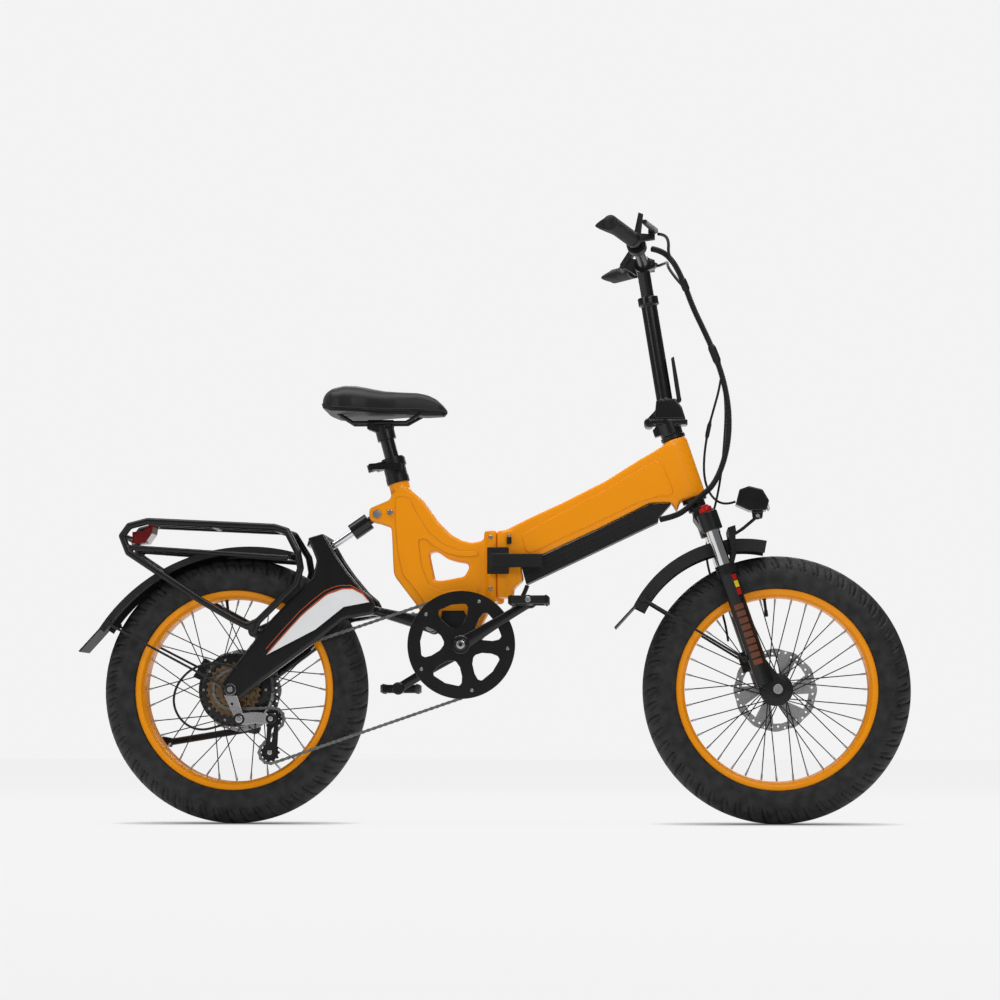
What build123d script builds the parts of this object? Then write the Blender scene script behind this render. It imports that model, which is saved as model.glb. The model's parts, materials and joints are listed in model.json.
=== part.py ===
"""Full-suspension folding fat-tyre bicycle, one STEP file per piece.

Frame: +X forward, +Y the rider's left, +Z up, millimetres. The origin lies on the
ground, under the middle of the overall length. The drive side is -Y.
Side outlines are drawn as (x, z) on a drawing whose rear axle is at DRAWN_REAR and
front axle at DRAWN_FRONT; back(), beam() and front() carry them to the real sizes.
"""
from build123d import *
from math import asin, atan2, cos, hypot, pi, radians, sin, tan
import os

# ---- driving dimensions ----
wheelbase = 1138.0
tyre_radius = 280.0
tyre_width = 98.0
tyre_wall = 4.0
rim_radius = 210.0
rim_width = 80.0
rear_overhang = 330.0
hinge_pin_offset = 48.0
hinge_pin_radius = 6.0
seatpost_radius = 15.0
seatpost_length = 300.0
seatpost_insertion = 196.0
seat_bore_depth = 275.0
seat_tube_wall = 7.0
steerer_radius = 14.3
head_tube_radius = 25.0
stanchion_radius = 14.0
fork_leg_radius = 18.0
fork_leg_spacing = 146.0
fork_leg_offset = 12.0
front_axle_radius = 5.0
rear_axle_radius = 6.0
crank_length = 170.0
crank_angle = 31.3
pedal_width = 92.0
pedal_axle_radius = 6.0
chainring_teeth = 52
cog_teeth = (28, 24, 22, 20, 18, 16, 14)
chain_pitch = 12.7
chain_line = 60.0
bar_half_width = 320.0
bar_radius = 11.1
riser_radius = 14.0
stem_wall = 3.0
arm_inner = 67.0
arm_thickness = 17.0
running = 0.05
gap = 0.3

# ---- places that follow ----
DRAWN_REAR = (-544.0, 280.0)
DRAWN_FRONT = (594.0, 280.0)
DRAWN_HINGE = 9.6
rear_axle_x = -(wheelbase + tyre_radius - rear_overhang) / 2
front_axle_x = rear_axle_x + wheelbase
lift = tyre_radius - DRAWN_REAR[1]
rear_shift = rear_axle_x - DRAWN_REAR[0]
front_shift = front_axle_x - DRAWN_FRONT[0]
DRAWN_HEAD = 380.0
leg_y = fork_leg_spacing / 2
half_tyre = tyre_width / 2
arm_outer = arm_inner + arm_thickness


def back(x, z):
    """A point of the rear half."""
    return (x + rear_shift, z + lift)


def front(x, z):
    """A point of the fork, head and bars."""
    return (x + front_shift, z + lift)


hinge_x = back(DRAWN_HINGE, 0)[0]


def beam(x, z):
    """A point of the main beam, which spans the fold hinge and the head."""
    share = (x - DRAWN_HINGE) / (DRAWN_HEAD - DRAWN_HINGE)
    return (hinge_x + share * (front(DRAWN_HEAD, 0)[0] - hinge_x), z + lift)


def at(point, y):
    """The 3-D place of a side-view point at width y."""
    return (point[0], y, point[1])


def save(builder, label):
    """Name a finished piece and write its file."""
    builder.part.label = label
    export_step(builder.part, f"parts/{label}.step")


def bar(start, end, radius, bore=0.0, mode=Mode.ADD):
    """A round bar or tube from start to end."""
    run = Vector(*end) - Vector(*start)
    with BuildSketch(Plane(origin=start, z_dir=run)) as section:
        Circle(radius)
        if bore:
            Circle(bore, mode=Mode.SUBTRACT)
    extrude(section.sketch, amount=run.length, mode=mode)


def disc(centre, y_low, y_high, radius, bore=0.0, mode=Mode.ADD):
    """A round plate across the bicycle."""
    bar(at(centre, y_low), at(centre, y_high), radius, bore, mode)


def slab(outline, y_low, y_high, mode=Mode.ADD, corner=0.0):
    """A side outline made solid from y_low to y_high."""
    with BuildSketch(Plane.XZ.offset(-y_high)) as face:
        with BuildLine():
            Polyline(*outline, close=True)
        make_face()
        if corner:
            fillet(face.vertices(), corner)
    extrude(face.sketch, amount=y_high - y_low, mode=mode)


def plan(outline, z_low, z_high, mode=Mode.ADD, corner=0.0):
    """A plan outline made solid from z_low to z_high."""
    with BuildSketch(Plane.XY.offset(z_low)) as face:
        with BuildLine():
            Polyline(*outline, close=True)
        make_face()
        if corner:
            fillet(face.vertices(), corner)
    extrude(face.sketch, amount=z_high - z_low, mode=mode)


def mirrored(points):
    """A plan outline's half and its mirror image about the centre plane."""
    return list(points) + [(x, -y) for x, y in reversed(points) if y]


def polar(centre, radius, angle):
    """A side-view point at an angle from forward, turning up."""
    return (centre[0] + radius * cos(radians(angle)), centre[1] + radius * sin(radians(angle)))


def along(start, end, distance):
    """The side-view point this far from start towards end."""
    length = hypot(end[0] - start[0], end[1] - start[1])
    share = distance / length
    return (start[0] + share * (end[0] - start[0]), start[1] + share * (end[1] - start[1]))


os.makedirs("parts", exist_ok=True)
rear_axle = (rear_axle_x, tyre_radius)
front_axle = (front_axle_x, tyre_radius)
crank_axis = back(-63.0, 373.0)
arm_pivot = back(-128.0, 415.0)

# ---- fork frame: s runs down the head axis from the collar's top, n forward of it ----
head_top = front(380.0, 816.0)
HEAD_DOWN = (0.3173, -0.9483)
HEAD_AHEAD = (0.9483, 0.3173)
axle_s = (front_axle[0] - head_top[0]) * HEAD_DOWN[0] + (front_axle[1] - head_top[1]) * HEAD_DOWN[1]
axle_n = (front_axle[0] - head_top[0]) * HEAD_AHEAD[0] + (front_axle[1] - head_top[1]) * HEAD_AHEAD[1]


def fork(s, n):
    """A side-view point of the fork."""
    return (
        head_top[0] + s * HEAD_DOWN[0] + n * HEAD_AHEAD[0],
        head_top[1] + s * HEAD_DOWN[1] + n * HEAD_AHEAD[1],
    )


# ---- wheels ----
def tyre(axle, label):
    """A hollow tyre casing open at its rim."""
    casing = half_tyre
    centre = tyre_radius - casing
    bead = rim_width / 2 - 3.0 - gap
    with BuildPart() as piece:
        with BuildSketch(Plane(origin=at(axle, 0), x_dir=(0, 1, 0), z_dir=(1, 0, 0))) as section:
            with Locations((0, centre)):
                Circle(casing)
                Circle(casing - tyre_wall, mode=Mode.SUBTRACT)
            with Locations((0, rim_radius + gap - 60)):
                Rectangle(3 * casing, 120, mode=Mode.SUBTRACT)
            for side in (-1, 1):
                with Locations((side * (bead - 2.5), rim_radius - 0.8)):
                    Rectangle(5, 14)
                with Locations((side * (bead + 1.5), rim_radius + gap + 2.5)):
                    Rectangle(8, 5)
        revolve(section.sketch, axis=Axis(at(axle, 0), (0, 1, 0)))
    save(piece, label)


def rim(axle, label):
    """A wide rim with flanges."""
    half = rim_width / 2
    with BuildPart() as piece:
        with BuildSketch(Plane(origin=at(axle, 0), x_dir=(0, 1, 0), z_dir=(1, 0, 0))) as section:
            with BuildLine():
                Polyline(
                    (-half, rim_radius), (-half + 3, rim_radius), (-half + 3, rim_radius - 8),
                    (half - 3, rim_radius - 8), (half - 3, rim_radius), (half, rim_radius),
                    (half, rim_radius - 11), (half - 10, rim_radius - 18),
                    (-half + 10, rim_radius - 18), (-half, rim_radius - 11), close=True,
                )
            make_face()
        revolve(section.sketch, axis=Axis(at(axle, 0), (0, 1, 0)))
    save(piece, label)


def spokes(axle, flange_radius, flange_y, label):
    """Thirty-six crossed spokes, each its own solid."""
    with BuildPart() as piece:
        for number in range(36):
            side = 1 if number % 2 else -1
            lean = 24 if number % 4 < 2 else -24
            inner = polar(axle, flange_radius + gap, number * 10 + lean)
            outer = polar(axle, rim_radius - 19.0, number * 10)
            start = at(inner, side * (flange_y + (2.0 if lean > 0 else -2.0)))
            bar(start, at(outer, side * 14.0), 1.2)
    save(piece, label)


front_flange, front_flange_y = 34.0, 26.0
motor_radius, motor_half = 78.0, 31.0
tyre(front_axle, "front_tyre")
rim(front_axle, "front_rim")
spokes(front_axle, front_flange, front_flange_y, "front_spokes")
tyre(rear_axle, "rear_tyre")
rim(rear_axle, "rear_rim")
spokes(rear_axle, motor_radius, motor_half - 9.0, "rear_spokes")

hub_radius, hub_end = 17.0, 66.4
rotor_y = 47.0
with BuildPart() as front_hub:
    disc(front_axle, -50, 50, hub_radius)
    for side in (-1, 1):
        disc(front_axle, side * front_flange_y - 3, side * front_flange_y + 3, front_flange)
    disc(front_axle, -hub_end, hub_end, front_axle_radius + 4)
    disc(front_axle, -hub_end, hub_end, front_axle_radius + running, mode=Mode.SUBTRACT)
save(front_hub, "front_hub")


def rotor(axle, y, radius, bore, label):
    """A brake rotor with a slotted friction ring on spider arms."""
    with BuildPart() as piece:
        disc(axle, y - 1, y + 1, radius, radius - 15)
        disc(axle, y - 1, y + 1, bore + 10, bore)
        for number in range(6):
            start = polar(axle, bore + 6, number * 60)
            end = polar(axle, radius - 12, number * 60 + 22)
            nx, nz = -(end[1] - start[1]), end[0] - start[0]
            size = hypot(nx, nz) / 3.5
            nx, nz = nx / size, nz / size
            slab([(start[0] + nx, start[1] + nz), (end[0] + nx, end[1] + nz),
                  (end[0] - nx, end[1] - nz), (start[0] - nx, start[1] - nz)], y - 1, y + 1)
    save(piece, label)


rear_rotor_y = 52.0
motor_neck = 30.0
rotor(front_axle, rotor_y, 88.0, hub_radius, "front_rotor")
rotor(rear_axle, rear_rotor_y, 88.0, motor_neck, "rear_rotor")

with BuildPart() as hub_motor:
    with BuildSketch(Plane(origin=at(rear_axle, 0), x_dir=(0, 1, 0), z_dir=(1, 0, 0))) as section:
        with BuildLine():
            Polyline(
                (-42, rear_axle_radius + running), (-42, 26), (-motor_half, 46),
                (-motor_half, motor_radius - 10), (-motor_half + 6, motor_radius),
                (motor_half - 6, motor_radius), (motor_half, motor_radius - 10),
                (motor_half, 46), (40, motor_neck), (57, motor_neck),
                (57, rear_axle_radius + running), close=True,
            )
        make_face()
    revolve(section.sketch, axis=Axis(at(rear_axle, 0), (0, 1, 0)))
save(hub_motor, "hub_motor")

# ---- drivetrain ----
ring_pitch = chain_pitch / 2 / sin(pi / chainring_teeth)
cog_pitch = chain_pitch / 2 / sin(pi / cog_teeth[3])
cog_step = 4.5
chain_half_height, chain_half_width = 3.8, 3.3
with BuildPart() as freewheel:
    first_y = -chain_line + 3 * cog_step
    disc(rear_axle, first_y - 6 * cog_step - 2, first_y + 2, 17.0)
    for number, teeth in enumerate(cog_teeth):
        y = first_y - number * cog_step
        radius = chain_pitch / 2 / sin(pi / teeth)
        if number == 3:
            radius = cog_pitch - chain_half_height - 1.0
        disc(rear_axle, y - 0.9, y + 0.9, radius)
    disc(rear_axle, first_y - 6 * cog_step - 3, first_y + 3, rear_axle_radius + running,
         mode=Mode.SUBTRACT)
save(freewheel, "freewheel")

guard_radius = 112.0
ring_edge = ring_pitch - chain_half_height - 1.0
with BuildPart() as chainring:
    disc(crank_axis, -chain_line - 1, -chain_line + 1, ring_edge, ring_edge - 14)
    disc(crank_axis, -chain_line - 8, -chain_line - 5, guard_radius, ring_edge - 12)
    disc(crank_axis, -chain_line - 8, -chain_line + 1, 26.0, 12.0)
    for number in range(5):
        angle = crank_angle + 36 + number * 72
        side = [polar(crank_axis, 22, angle - 24), polar(crank_axis, 60, angle - 9),
                polar(crank_axis, ring_edge - 6, angle - 8), polar(crank_axis, ring_edge - 6, angle + 8),
                polar(crank_axis, 60, angle + 7), polar(crank_axis, 22, angle + 24)]
        slab(side, -chain_line - 8, -chain_line + 1)
save(chainring, "chainring")

crank_in, crank_out = 72.0, 86.0
with BuildPart() as crank_arms:
    disc(crank_axis, -crank_out, crank_out, 11.9)
    for side, angle in ((-1, crank_angle), (1, crank_angle + 180)):
        pedal = polar(crank_axis, crank_length, angle)
        low, high = sorted((side * crank_in, side * crank_out))
        disc(crank_axis, low, high, 20.0)
        disc(pedal, low, high, 14.0)
        edge = [polar(crank_axis, 19, angle + 90), polar(pedal, 13, angle + 90),
                polar(pedal, 13, angle - 90), polar(crank_axis, 19, angle - 90)]
        slab(edge, low, high)
        disc(pedal, *sorted((side * crank_out, side * (crank_out + pedal_width + 16))),
             pedal_axle_radius)
save(crank_arms, "crank_arms")


def pedal(centre, side, label):
    """A platform pedal with two open windows."""
    near, far = side * (crank_out + 10), side * (crank_out + 10 + pedal_width)
    low, high = sorted((near, far))
    with BuildPart() as piece:
        x, z = centre
        plan([(x - 40, low + 8), (x - 32, low), (x + 32, low), (x + 40, low + 8),
              (x + 40, high - 8), (x + 32, high), (x - 32, high), (x - 40, high - 8)],
             z - 11, z + 11)
        for ahead in (-1, 1):
            plan([(x + ahead * 14, low + 14), (x + ahead * 32, low + 14),
                  (x + ahead * 32, high - 14), (x + ahead * 14, high - 14)],
                 z - 12, z + 12, mode=Mode.SUBTRACT)
        disc(centre, low - 1, high + 1, pedal_axle_radius + running, mode=Mode.SUBTRACT)
    save(piece, label)


pedal(polar(crank_axis, crank_length, crank_angle), -1, "pedal_right")
pedal(polar(crank_axis, crank_length, crank_angle + 180), 1, "pedal_left")

jockey_top = (rear_axle[0] + 86.0, rear_axle[1] - 61.0)
jockey_low = (rear_axle[0] + 80.0, rear_axle[1] - 131.0)
jockey_pitch = 23.0


def belt(wheels):
    """The pitch line round wheels given as (centre, radius, way), way +1 counterclockwise."""
    points = []
    count = len(wheels)
    legs = []
    for number in range(count):
        (a, ra, wa), (b, rb, wb) = wheels[number], wheels[(number + 1) % count]
        dx, dz = b[0] - a[0], b[1] - a[1]
        length, heading = hypot(dx, dz), atan2(dz, dx)
        offset = asin((wa * ra - wb * rb) / length)
        normal = heading + offset - pi / 2
        leave = (a[0] + wa * ra * cos(normal), a[1] + wa * ra * sin(normal))
        reach = (b[0] + wb * rb * cos(normal), b[1] + wb * rb * sin(normal))
        legs.append((leave, reach))
    for number in range(count):
        centre, radius, way = wheels[number]
        start, end = legs[number - 1][1], legs[number][0]
        first = atan2(start[1] - centre[1], start[0] - centre[0])
        last = atan2(end[1] - centre[1], end[0] - centre[0])
        sweep = (last - first) * way % (2 * pi)
        steps = max(2, round(sweep * radius / chain_pitch))
        for step in range(steps + 1):
            angle = first + way * sweep * step / steps
            points.append((centre[0] + radius * cos(angle), centre[1] + radius * sin(angle)))
        points.append(None)
    return [p for p in points if p]


chain_path = belt([
    (crank_axis, ring_pitch, -1), (jockey_low, jockey_pitch, -1),
    (jockey_top, jockey_pitch, 1), (rear_axle, cog_pitch, -1),
])


def offset_loop(points, distance):
    """A closed outline moved sideways by distance."""
    moved = []
    count = len(points)
    for number in range(count):
        a, b, c = points[number - 1], points[number], points[(number + 1) % count]
        tx, tz = c[0] - a[0], c[1] - a[1]
        size = hypot(tx, tz)
        moved.append((b[0] - tz / size * distance, b[1] + tx / size * distance))
    return moved


with BuildPart() as chain:
    slab(offset_loop(chain_path, chain_half_height), -chain_line - chain_half_width,
         -chain_line + chain_half_width)
    slab(offset_loop(chain_path, -chain_half_height), -chain_line - chain_half_width,
         -chain_line + chain_half_width, mode=Mode.SUBTRACT)
save(chain, "chain")

derailleur_pivot = (rear_axle[0] + 20.0, rear_axle[1] - 62.0)
with BuildPart() as derailleur:
    slab([(rear_axle[0] - 12, rear_axle[1] - 12), (rear_axle[0] + 14, rear_axle[1] - 14),
          (derailleur_pivot[0] + 10, derailleur_pivot[1]),
          (derailleur_pivot[0] - 8, derailleur_pivot[1])], -arm_outer - 8, -arm_outer - gap)
    disc(derailleur_pivot, -arm_outer - 14, -arm_outer - gap, 13.0)
    slab([(derailleur_pivot[0] + 4, derailleur_pivot[1] + 12),
          (jockey_top[0] - 8, jockey_top[1] + 11), (jockey_top[0] - 2, jockey_top[1] - 11),
          (derailleur_pivot[0] + 2, derailleur_pivot[1] - 12)], -arm_outer - 14, -arm_outer - 4)
    disc(jockey_top, -arm_outer - 14, -arm_outer + 8, 12.0)
save(derailleur, "derailleur")

cage_near, cage_far = -chain_line - 5.2, -chain_line + 5.2
with BuildPart() as derailleur_cage:
    for y in (cage_near, cage_far):
        slab([(jockey_top[0] - 12, jockey_top[1]), (jockey_top[0] - 9, jockey_top[1] + 13),
              (jockey_top[0] + 11, jockey_top[1] + 10), (jockey_low[0] + 12, jockey_low[1] - 4),
              (jockey_low[0], jockey_low[1] - 13), (jockey_low[0] - 11, jockey_low[1] - 6)],
             y - 1.0, y + 1.0)
    for centre in (jockey_top, jockey_low):
        disc(centre, -chain_line - 5.5, -chain_line + 5.5, 5.0)
        disc(centre, -chain_line - 2.0, -chain_line + 2.0, jockey_pitch - chain_half_height - 1.5)
    disc(jockey_top, -arm_outer + 8 + gap, cage_near, 6.0)
save(derailleur_cage, "derailleur_cage")

# ---- rear half of the frame ----
frame_half = 24.0
hinge_half = 40.0
hinge_low, hinge_high = back(0, 463)[1], back(0, 615)[1]
knuckle = 12.0
hinge_inner = hinge_pin_offset - knuckle - 0.4
knuckle_cut_low, knuckle_cut_high = hinge_low + 40.0, hinge_high - 40.0
pin_place = (hinge_x, hinge_pin_offset)
seat_top = back(-205.0, 732.0)
SEAT_UP = (-0.2588, 0.9659)


def seat(distance, ahead=0.0):
    """A side-view point up the seat tube from its top, and forward of it."""
    return (seat_top[0] + distance * SEAT_UP[0] + ahead * SEAT_UP[1],
            seat_top[1] + distance * SEAT_UP[1] - ahead * SEAT_UP[0])


seat_tube_radius = seatpost_radius + seat_tube_wall
shock_top = back(-245.0, 651.0)
shock_low = back(-359.0, 572.5)
pivot_pin_radius = 8.0


def knuckles(z_ranges, side):
    """Hinge knuckles round the fold pin, each with a web to its half; side is -1 rear, +1 front."""
    x, y = pin_place
    for low, high in z_ranges:
        with BuildSketch(Plane.XY.offset(low)) as ring:
            with Locations((x, y)):
                Circle(knuckle)
            with BuildLine():
                Polyline((x + side * gap, y + 2), (x + side * knuckle, y), (x + side * 20, hinge_inner - 2),
                         (x + side * gap, hinge_inner - 3), close=True)
            make_face()
        extrude(ring.sketch, amount=high - low)


with BuildPart() as rear_frame:
    slab([back(-219.5, 677), back(-215, 632), back(-210, 527), back(-206, 517),
          back(-162.5, 460), back(-143, 429), back(-119, 410), back(-26, 410), back(-11, 439.5),
          back(-8, 470), back(-8, 600), back(-22, 594.5), back(-43, 590), back(-65, 595),
          back(-87, 607), back(-116, 636), back(-149, 682), seat(-32, 20), seat(-32, -18)],
         -frame_half, frame_half)
    plan([(hinge_x - gap / 2, -hinge_half), (hinge_x - gap / 2, hinge_inner),
          (hinge_x - 14, hinge_inner), (hinge_x - 28, frame_half - 1), (hinge_x - 28, -frame_half + 1),
          (hinge_x - 14, -hinge_half)], hinge_low, hinge_high)
    bar(at(seat(0), 0), at(seat(-90), 0), seat_tube_radius)
    slab([back(-135, 568), back(-119, 573), back(-97, 557), back(-76, 550), back(-54, 547),
          back(-49, 538), back(-59, 519), back(-108, 510), back(-123, 511)],
         -frame_half - 1, frame_half + 1, mode=Mode.SUBTRACT)
    bar(at(seat(1), 0), at(seat(-seat_bore_depth), 0), seatpost_radius + running, mode=Mode.SUBTRACT)
    knuckles([(hinge_low, knuckle_cut_low - gap / 2), (knuckle_cut_high + gap / 2, hinge_high)], -1)
    bar((*pin_place, hinge_low - 1), (*pin_place, hinge_high + 1), hinge_pin_radius,
        mode=Mode.SUBTRACT)
    disc(arm_pivot, -frame_half - 1, frame_half + 1, pivot_pin_radius, mode=Mode.SUBTRACT)
    for low, high in ((-frame_half, -9.0), (9.0, frame_half)):
        slab([back(-214, 684), back(-238, 674), back(-262, 664), (shock_top[0] - 16, shock_top[1] - 14),
              (shock_top[0] + 2, shock_top[1] - 18), back(-212, 622)], low, high)
        disc(shock_top, low, high, 18.0)
    disc(shock_top, -frame_half - 1, frame_half + 1, 5.0, mode=Mode.SUBTRACT)
save(rear_frame, "rear_frame")

bb_shell_radius, bb_half = 23.0, 34.0
with BuildPart() as bottom_bracket:
    disc(crank_axis, -bb_half, bb_half, bb_shell_radius)
    slab([back(-112, 409.6), back(-36, 409.6), (crank_axis[0] + 20, crank_axis[1] + 6),
          (crank_axis[0] - 20, crank_axis[1] - 6)], -frame_half, frame_half)
    for side in (-1, 1):
        slab([back(-106, 446), back(-60, 446), back(-40, 404), (crank_axis[0] + 18, crank_axis[1]),
              (crank_axis[0] - 18, crank_axis[1]), back(-112, 399)],
             *sorted((side * (frame_half + 0.1), side * 29.5)))
        disc(crank_axis, *sorted((side * bb_half, side * (bb_half + 6))), bb_shell_radius - 2)
    disc(crank_axis, -bb_half - 7, bb_half + 7, 12.0, mode=Mode.SUBTRACT)
save(bottom_bracket, "bottom_bracket")

with BuildPart() as frame_pins:
    bar((*pin_place, hinge_low), (*pin_place, hinge_high), hinge_pin_radius)
    disc(arm_pivot, -51, 51, pivot_pin_radius)
    for side in (-1, 1):
        disc(arm_pivot, *sorted((side * 51, side * 55)), 13.0)
    disc(shock_top, -frame_half, frame_half, 5.0)
    for side in (-1, 1):
        disc(shock_top, *sorted((side * frame_half, side * (frame_half + 4))), 9.0)
save(frame_pins, "frame_pins")

collar_radius = seat_tube_radius + 4.5
collar_top = 42.0
with BuildPart() as seat_collar:
    bar(at(seat(-14), 0), at(seat(0), 0), seat_tube_radius + 2.5, seat_tube_radius)
    bar(at(seat(0), 0), at(seat(collar_top), 0), seat_tube_radius + 1.5, seatpost_radius + 0.5)
    bar(at(seat(collar_top - 20), 0), at(seat(collar_top - 3), 0), collar_radius, seatpost_radius + 0.5)
    slab([seat(collar_top - 20, -collar_radius + 1), seat(collar_top - 3, -collar_radius + 1),
          seat(collar_top - 3, -collar_radius - 12), seat(collar_top - 20, -collar_radius - 12)], -14, 14)
save(seat_collar, "seat_collar")

lever_pivot = seat(collar_top - 11, -collar_radius - 20)
with BuildPart() as seat_clamp_lever:
    bar(at(seat(collar_top - 19, -collar_radius - 21), -9), at(seat(collar_top - 3, -collar_radius - 21), -9),
        8.0)
    plan([(lever_pivot[0] - 7, -10), (lever_pivot[0] - 4, -30), (lever_pivot[0] + 14, -42),
          (lever_pivot[0] + 66, -41), (lever_pivot[0] + 68, -34), (lever_pivot[0] + 16, -34),
          (lever_pivot[0] + 5, -26), (lever_pivot[0] + 6, -10)],
         lever_pivot[1] - 6, lever_pivot[1] + 8)
save(seat_clamp_lever, "seat_clamp_lever")

post_top = seatpost_length - seatpost_insertion
with BuildPart() as seatpost:
    bar(at(seat(-seatpost_insertion), 0), at(seat(post_top), 0), seatpost_radius,
        seatpost_radius - 2.5)
save(seatpost, "seatpost")

clamp_base = seat(post_top)
rail_y = 22.0
rail_z = clamp_base[1] + 14.0
rail_radius = 3.5


def rails(radius, mode):
    """The two saddle rails, level over the clamp and rising into the shell at both ends."""
    for side in (-1, 1):
        route = [(clamp_base[0] + x, side * (rail_y + spread), rail_z + z)
                 for x, z, spread in ((-98, 20, 6), (-66, 0, 0), (48, 0, 0), (80, 18, 4))]
        for start, end in zip(route, route[1:]):
            bar(start, end, radius, mode=mode)
        for corner in route[1:-1]:
            with Locations(corner):
                Sphere(radius, mode=mode)


with BuildPart() as saddle_clamp:
    slab([(clamp_base[0] - 34, clamp_base[1] + 20), (clamp_base[0] + 20, clamp_base[1] + 20),
          (clamp_base[0] + 18, clamp_base[1] + 1), (clamp_base[0] - 16, clamp_base[1] - 6),
          (clamp_base[0] - 36, clamp_base[1] + 2)], -rail_y + 4.2, rail_y - 4.2)
    bar(at(seat(post_top - 22), 0), at(seat(post_top + 8), 0), seatpost_radius + 5,
        seatpost_radius)
    bar(at(seat(post_top), 0), at(seat(post_top + 4), 0), seatpost_radius + 3)
    disc((clamp_base[0] - 26, clamp_base[1] + 8), -26, 26, 7.0)
    disc((clamp_base[0] + 10, clamp_base[1] + 8), -26, 26, 5.0)
    bar(at(seat(post_top - 40), 0), at(seat(post_top), 0), seatpost_radius, mode=Mode.SUBTRACT)

    rails(rail_radius, Mode.ADD)
save(saddle_clamp, "saddle_clamp")


def saddle_plan(grow):
    """The saddle from above, a wide tail and a narrow nose."""
    return [(x + rear_shift, y + grow) for x, y in (
        (-362, 50), (-352, 88), (-318, 100), (-280, 92), (-236, 62), (-196, 40),
        (-150, 27), (-108, 20), (-97, 8))]


saddle_seam = [(-361, 884), (-335, 876), (-290, 872), (-200, 872), (-140, 869), (-97, 868)]


def seam(drop):
    """The line where pad meets shell."""
    return [back(x, z - drop) for x, z in saddle_seam]


with BuildPart() as saddle_pad:
    slab(seam(0) + [back(-96, 876), back(-102, 888), back(-116, 901), back(-143, 909),
                    back(-184, 912), back(-229, 914), back(-265, 920), back(-306, 924),
                    back(-339, 923), back(-357, 911), back(-363, 896)], -120, 120)
    plan(mirrored(saddle_plan(0)), back(0, 800)[1], back(0, 960)[1], mode=Mode.INTERSECT)
save(saddle_pad, "saddle_pad")

with BuildPart() as saddle_shell:
    slab(seam(0.2) + [back(-104, 861), back(-140, 860), back(-186, 862), back(-290, 862),
                      back(-335, 864), back(-356, 872)], -120, 120)
    plan(mirrored(saddle_plan(-4)), back(0, 800)[1], back(0, 960)[1], mode=Mode.INTERSECT)
    rails(rail_radius, Mode.SUBTRACT)
save(saddle_shell, "saddle_shell")

# ---- front half of the frame ----
beam_half = 30.0
cup_height = 8.0
head_low = 140.0
with BuildPart() as front_frame:
    slab([beam(24, 615), beam(76, 641), beam(144, 672), beam(238, 719), beam(305, 761),
          beam(343, 783), fork(14, -22), fork(14, 0), fork(head_low - 2, 0), fork(head_low - 2, -30),
          beam(388, 653), beam(378, 673), beam(332, 672), beam(305.5, 659), beam(225, 619),
          beam(144, 582), beam(108, 565), beam(58.5, 541), beam(65, 511), beam(24, 474)],
         -beam_half, beam_half)
    plan([(hinge_x + gap / 2, -hinge_half), (hinge_x + gap / 2, hinge_inner),
          (hinge_x + 14, hinge_inner), (hinge_x + 34, beam_half - 1), (hinge_x + 34, -beam_half + 1),
          (hinge_x + 14, -hinge_half)], hinge_low + 10, hinge_high)
    bar(at(fork(cup_height, 0), 0), at(fork(head_low, 0), 0), head_tube_radius + 2)
    knuckles([(knuckle_cut_low + gap / 2, knuckle_cut_high - gap / 2)], 1)
    bar((*pin_place, hinge_low - 1), (*pin_place, hinge_high + 1), hinge_pin_radius + running,
        mode=Mode.SUBTRACT)
    bar(at(fork(0, 0), 0), at(fork(head_low + 9, 0), 0), steerer_radius + 3, mode=Mode.SUBTRACT)
save(front_frame, "front_frame")

with BuildPart() as headset:
    for start, end in ((0.5, cup_height), (head_low, head_low + cup_height)):
        bar(at(fork(start, 0), 0), at(fork(end, 0), 0), head_tube_radius + 1,
            steerer_radius + running)
    for start, end in ((cup_height, cup_height + 14), (head_low - 14, head_low)):
        bar(at(fork(start, 0), 0), at(fork(end, 0), 0), steerer_radius + 3, steerer_radius + running)
save(headset, "headset")

with BuildPart() as battery:
    slab([beam(61, 538), beam(71, 501), beam(144, 535), beam(249, 584), beam(348.5, 632),
          beam(350, 642), beam(376, 670.5), beam(333, 669.6), beam(306, 656.8), beam(225.5, 616.6),
          beam(144.5, 579.6), beam(108.5, 562.6), beam(61, 540.6)], -beam_half + 4, beam_half - 4)
save(battery, "battery")

latch_y = -hinge_half - 2 * gap
latch_pivot = (hinge_x - 12.0, latch_y - 8.0)
with BuildPart() as frame_latch:
    x, y = latch_pivot
    plan([(x, y + 8), (x - 6, y + 5), (x - 8, y), (x - 6, y - 6), (x + 6, y - 10), (x + 42, y - 10),
          (x + 110, y - 3), (x + 110, y + 4), (x + 46, y + 8)], back(0, 536)[1], back(0, 564)[1])
    plan([(x, y + 8), (x - 6, y + 5), (x - 8, y), (x - 6, y - 5), (x + 38, y - 6), (x + 38, y + 8)],
         back(0, 522)[1], back(0, 578)[1])
    bar((x, y, back(0, 522)[1]), (x, y, back(0, 578)[1]), 7.8)
    bar((x, y, back(0, 521)[1]), (x, y, back(0, 579)[1]), 2.5, mode=Mode.SUBTRACT)
save(frame_latch, "frame_latch")

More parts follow.
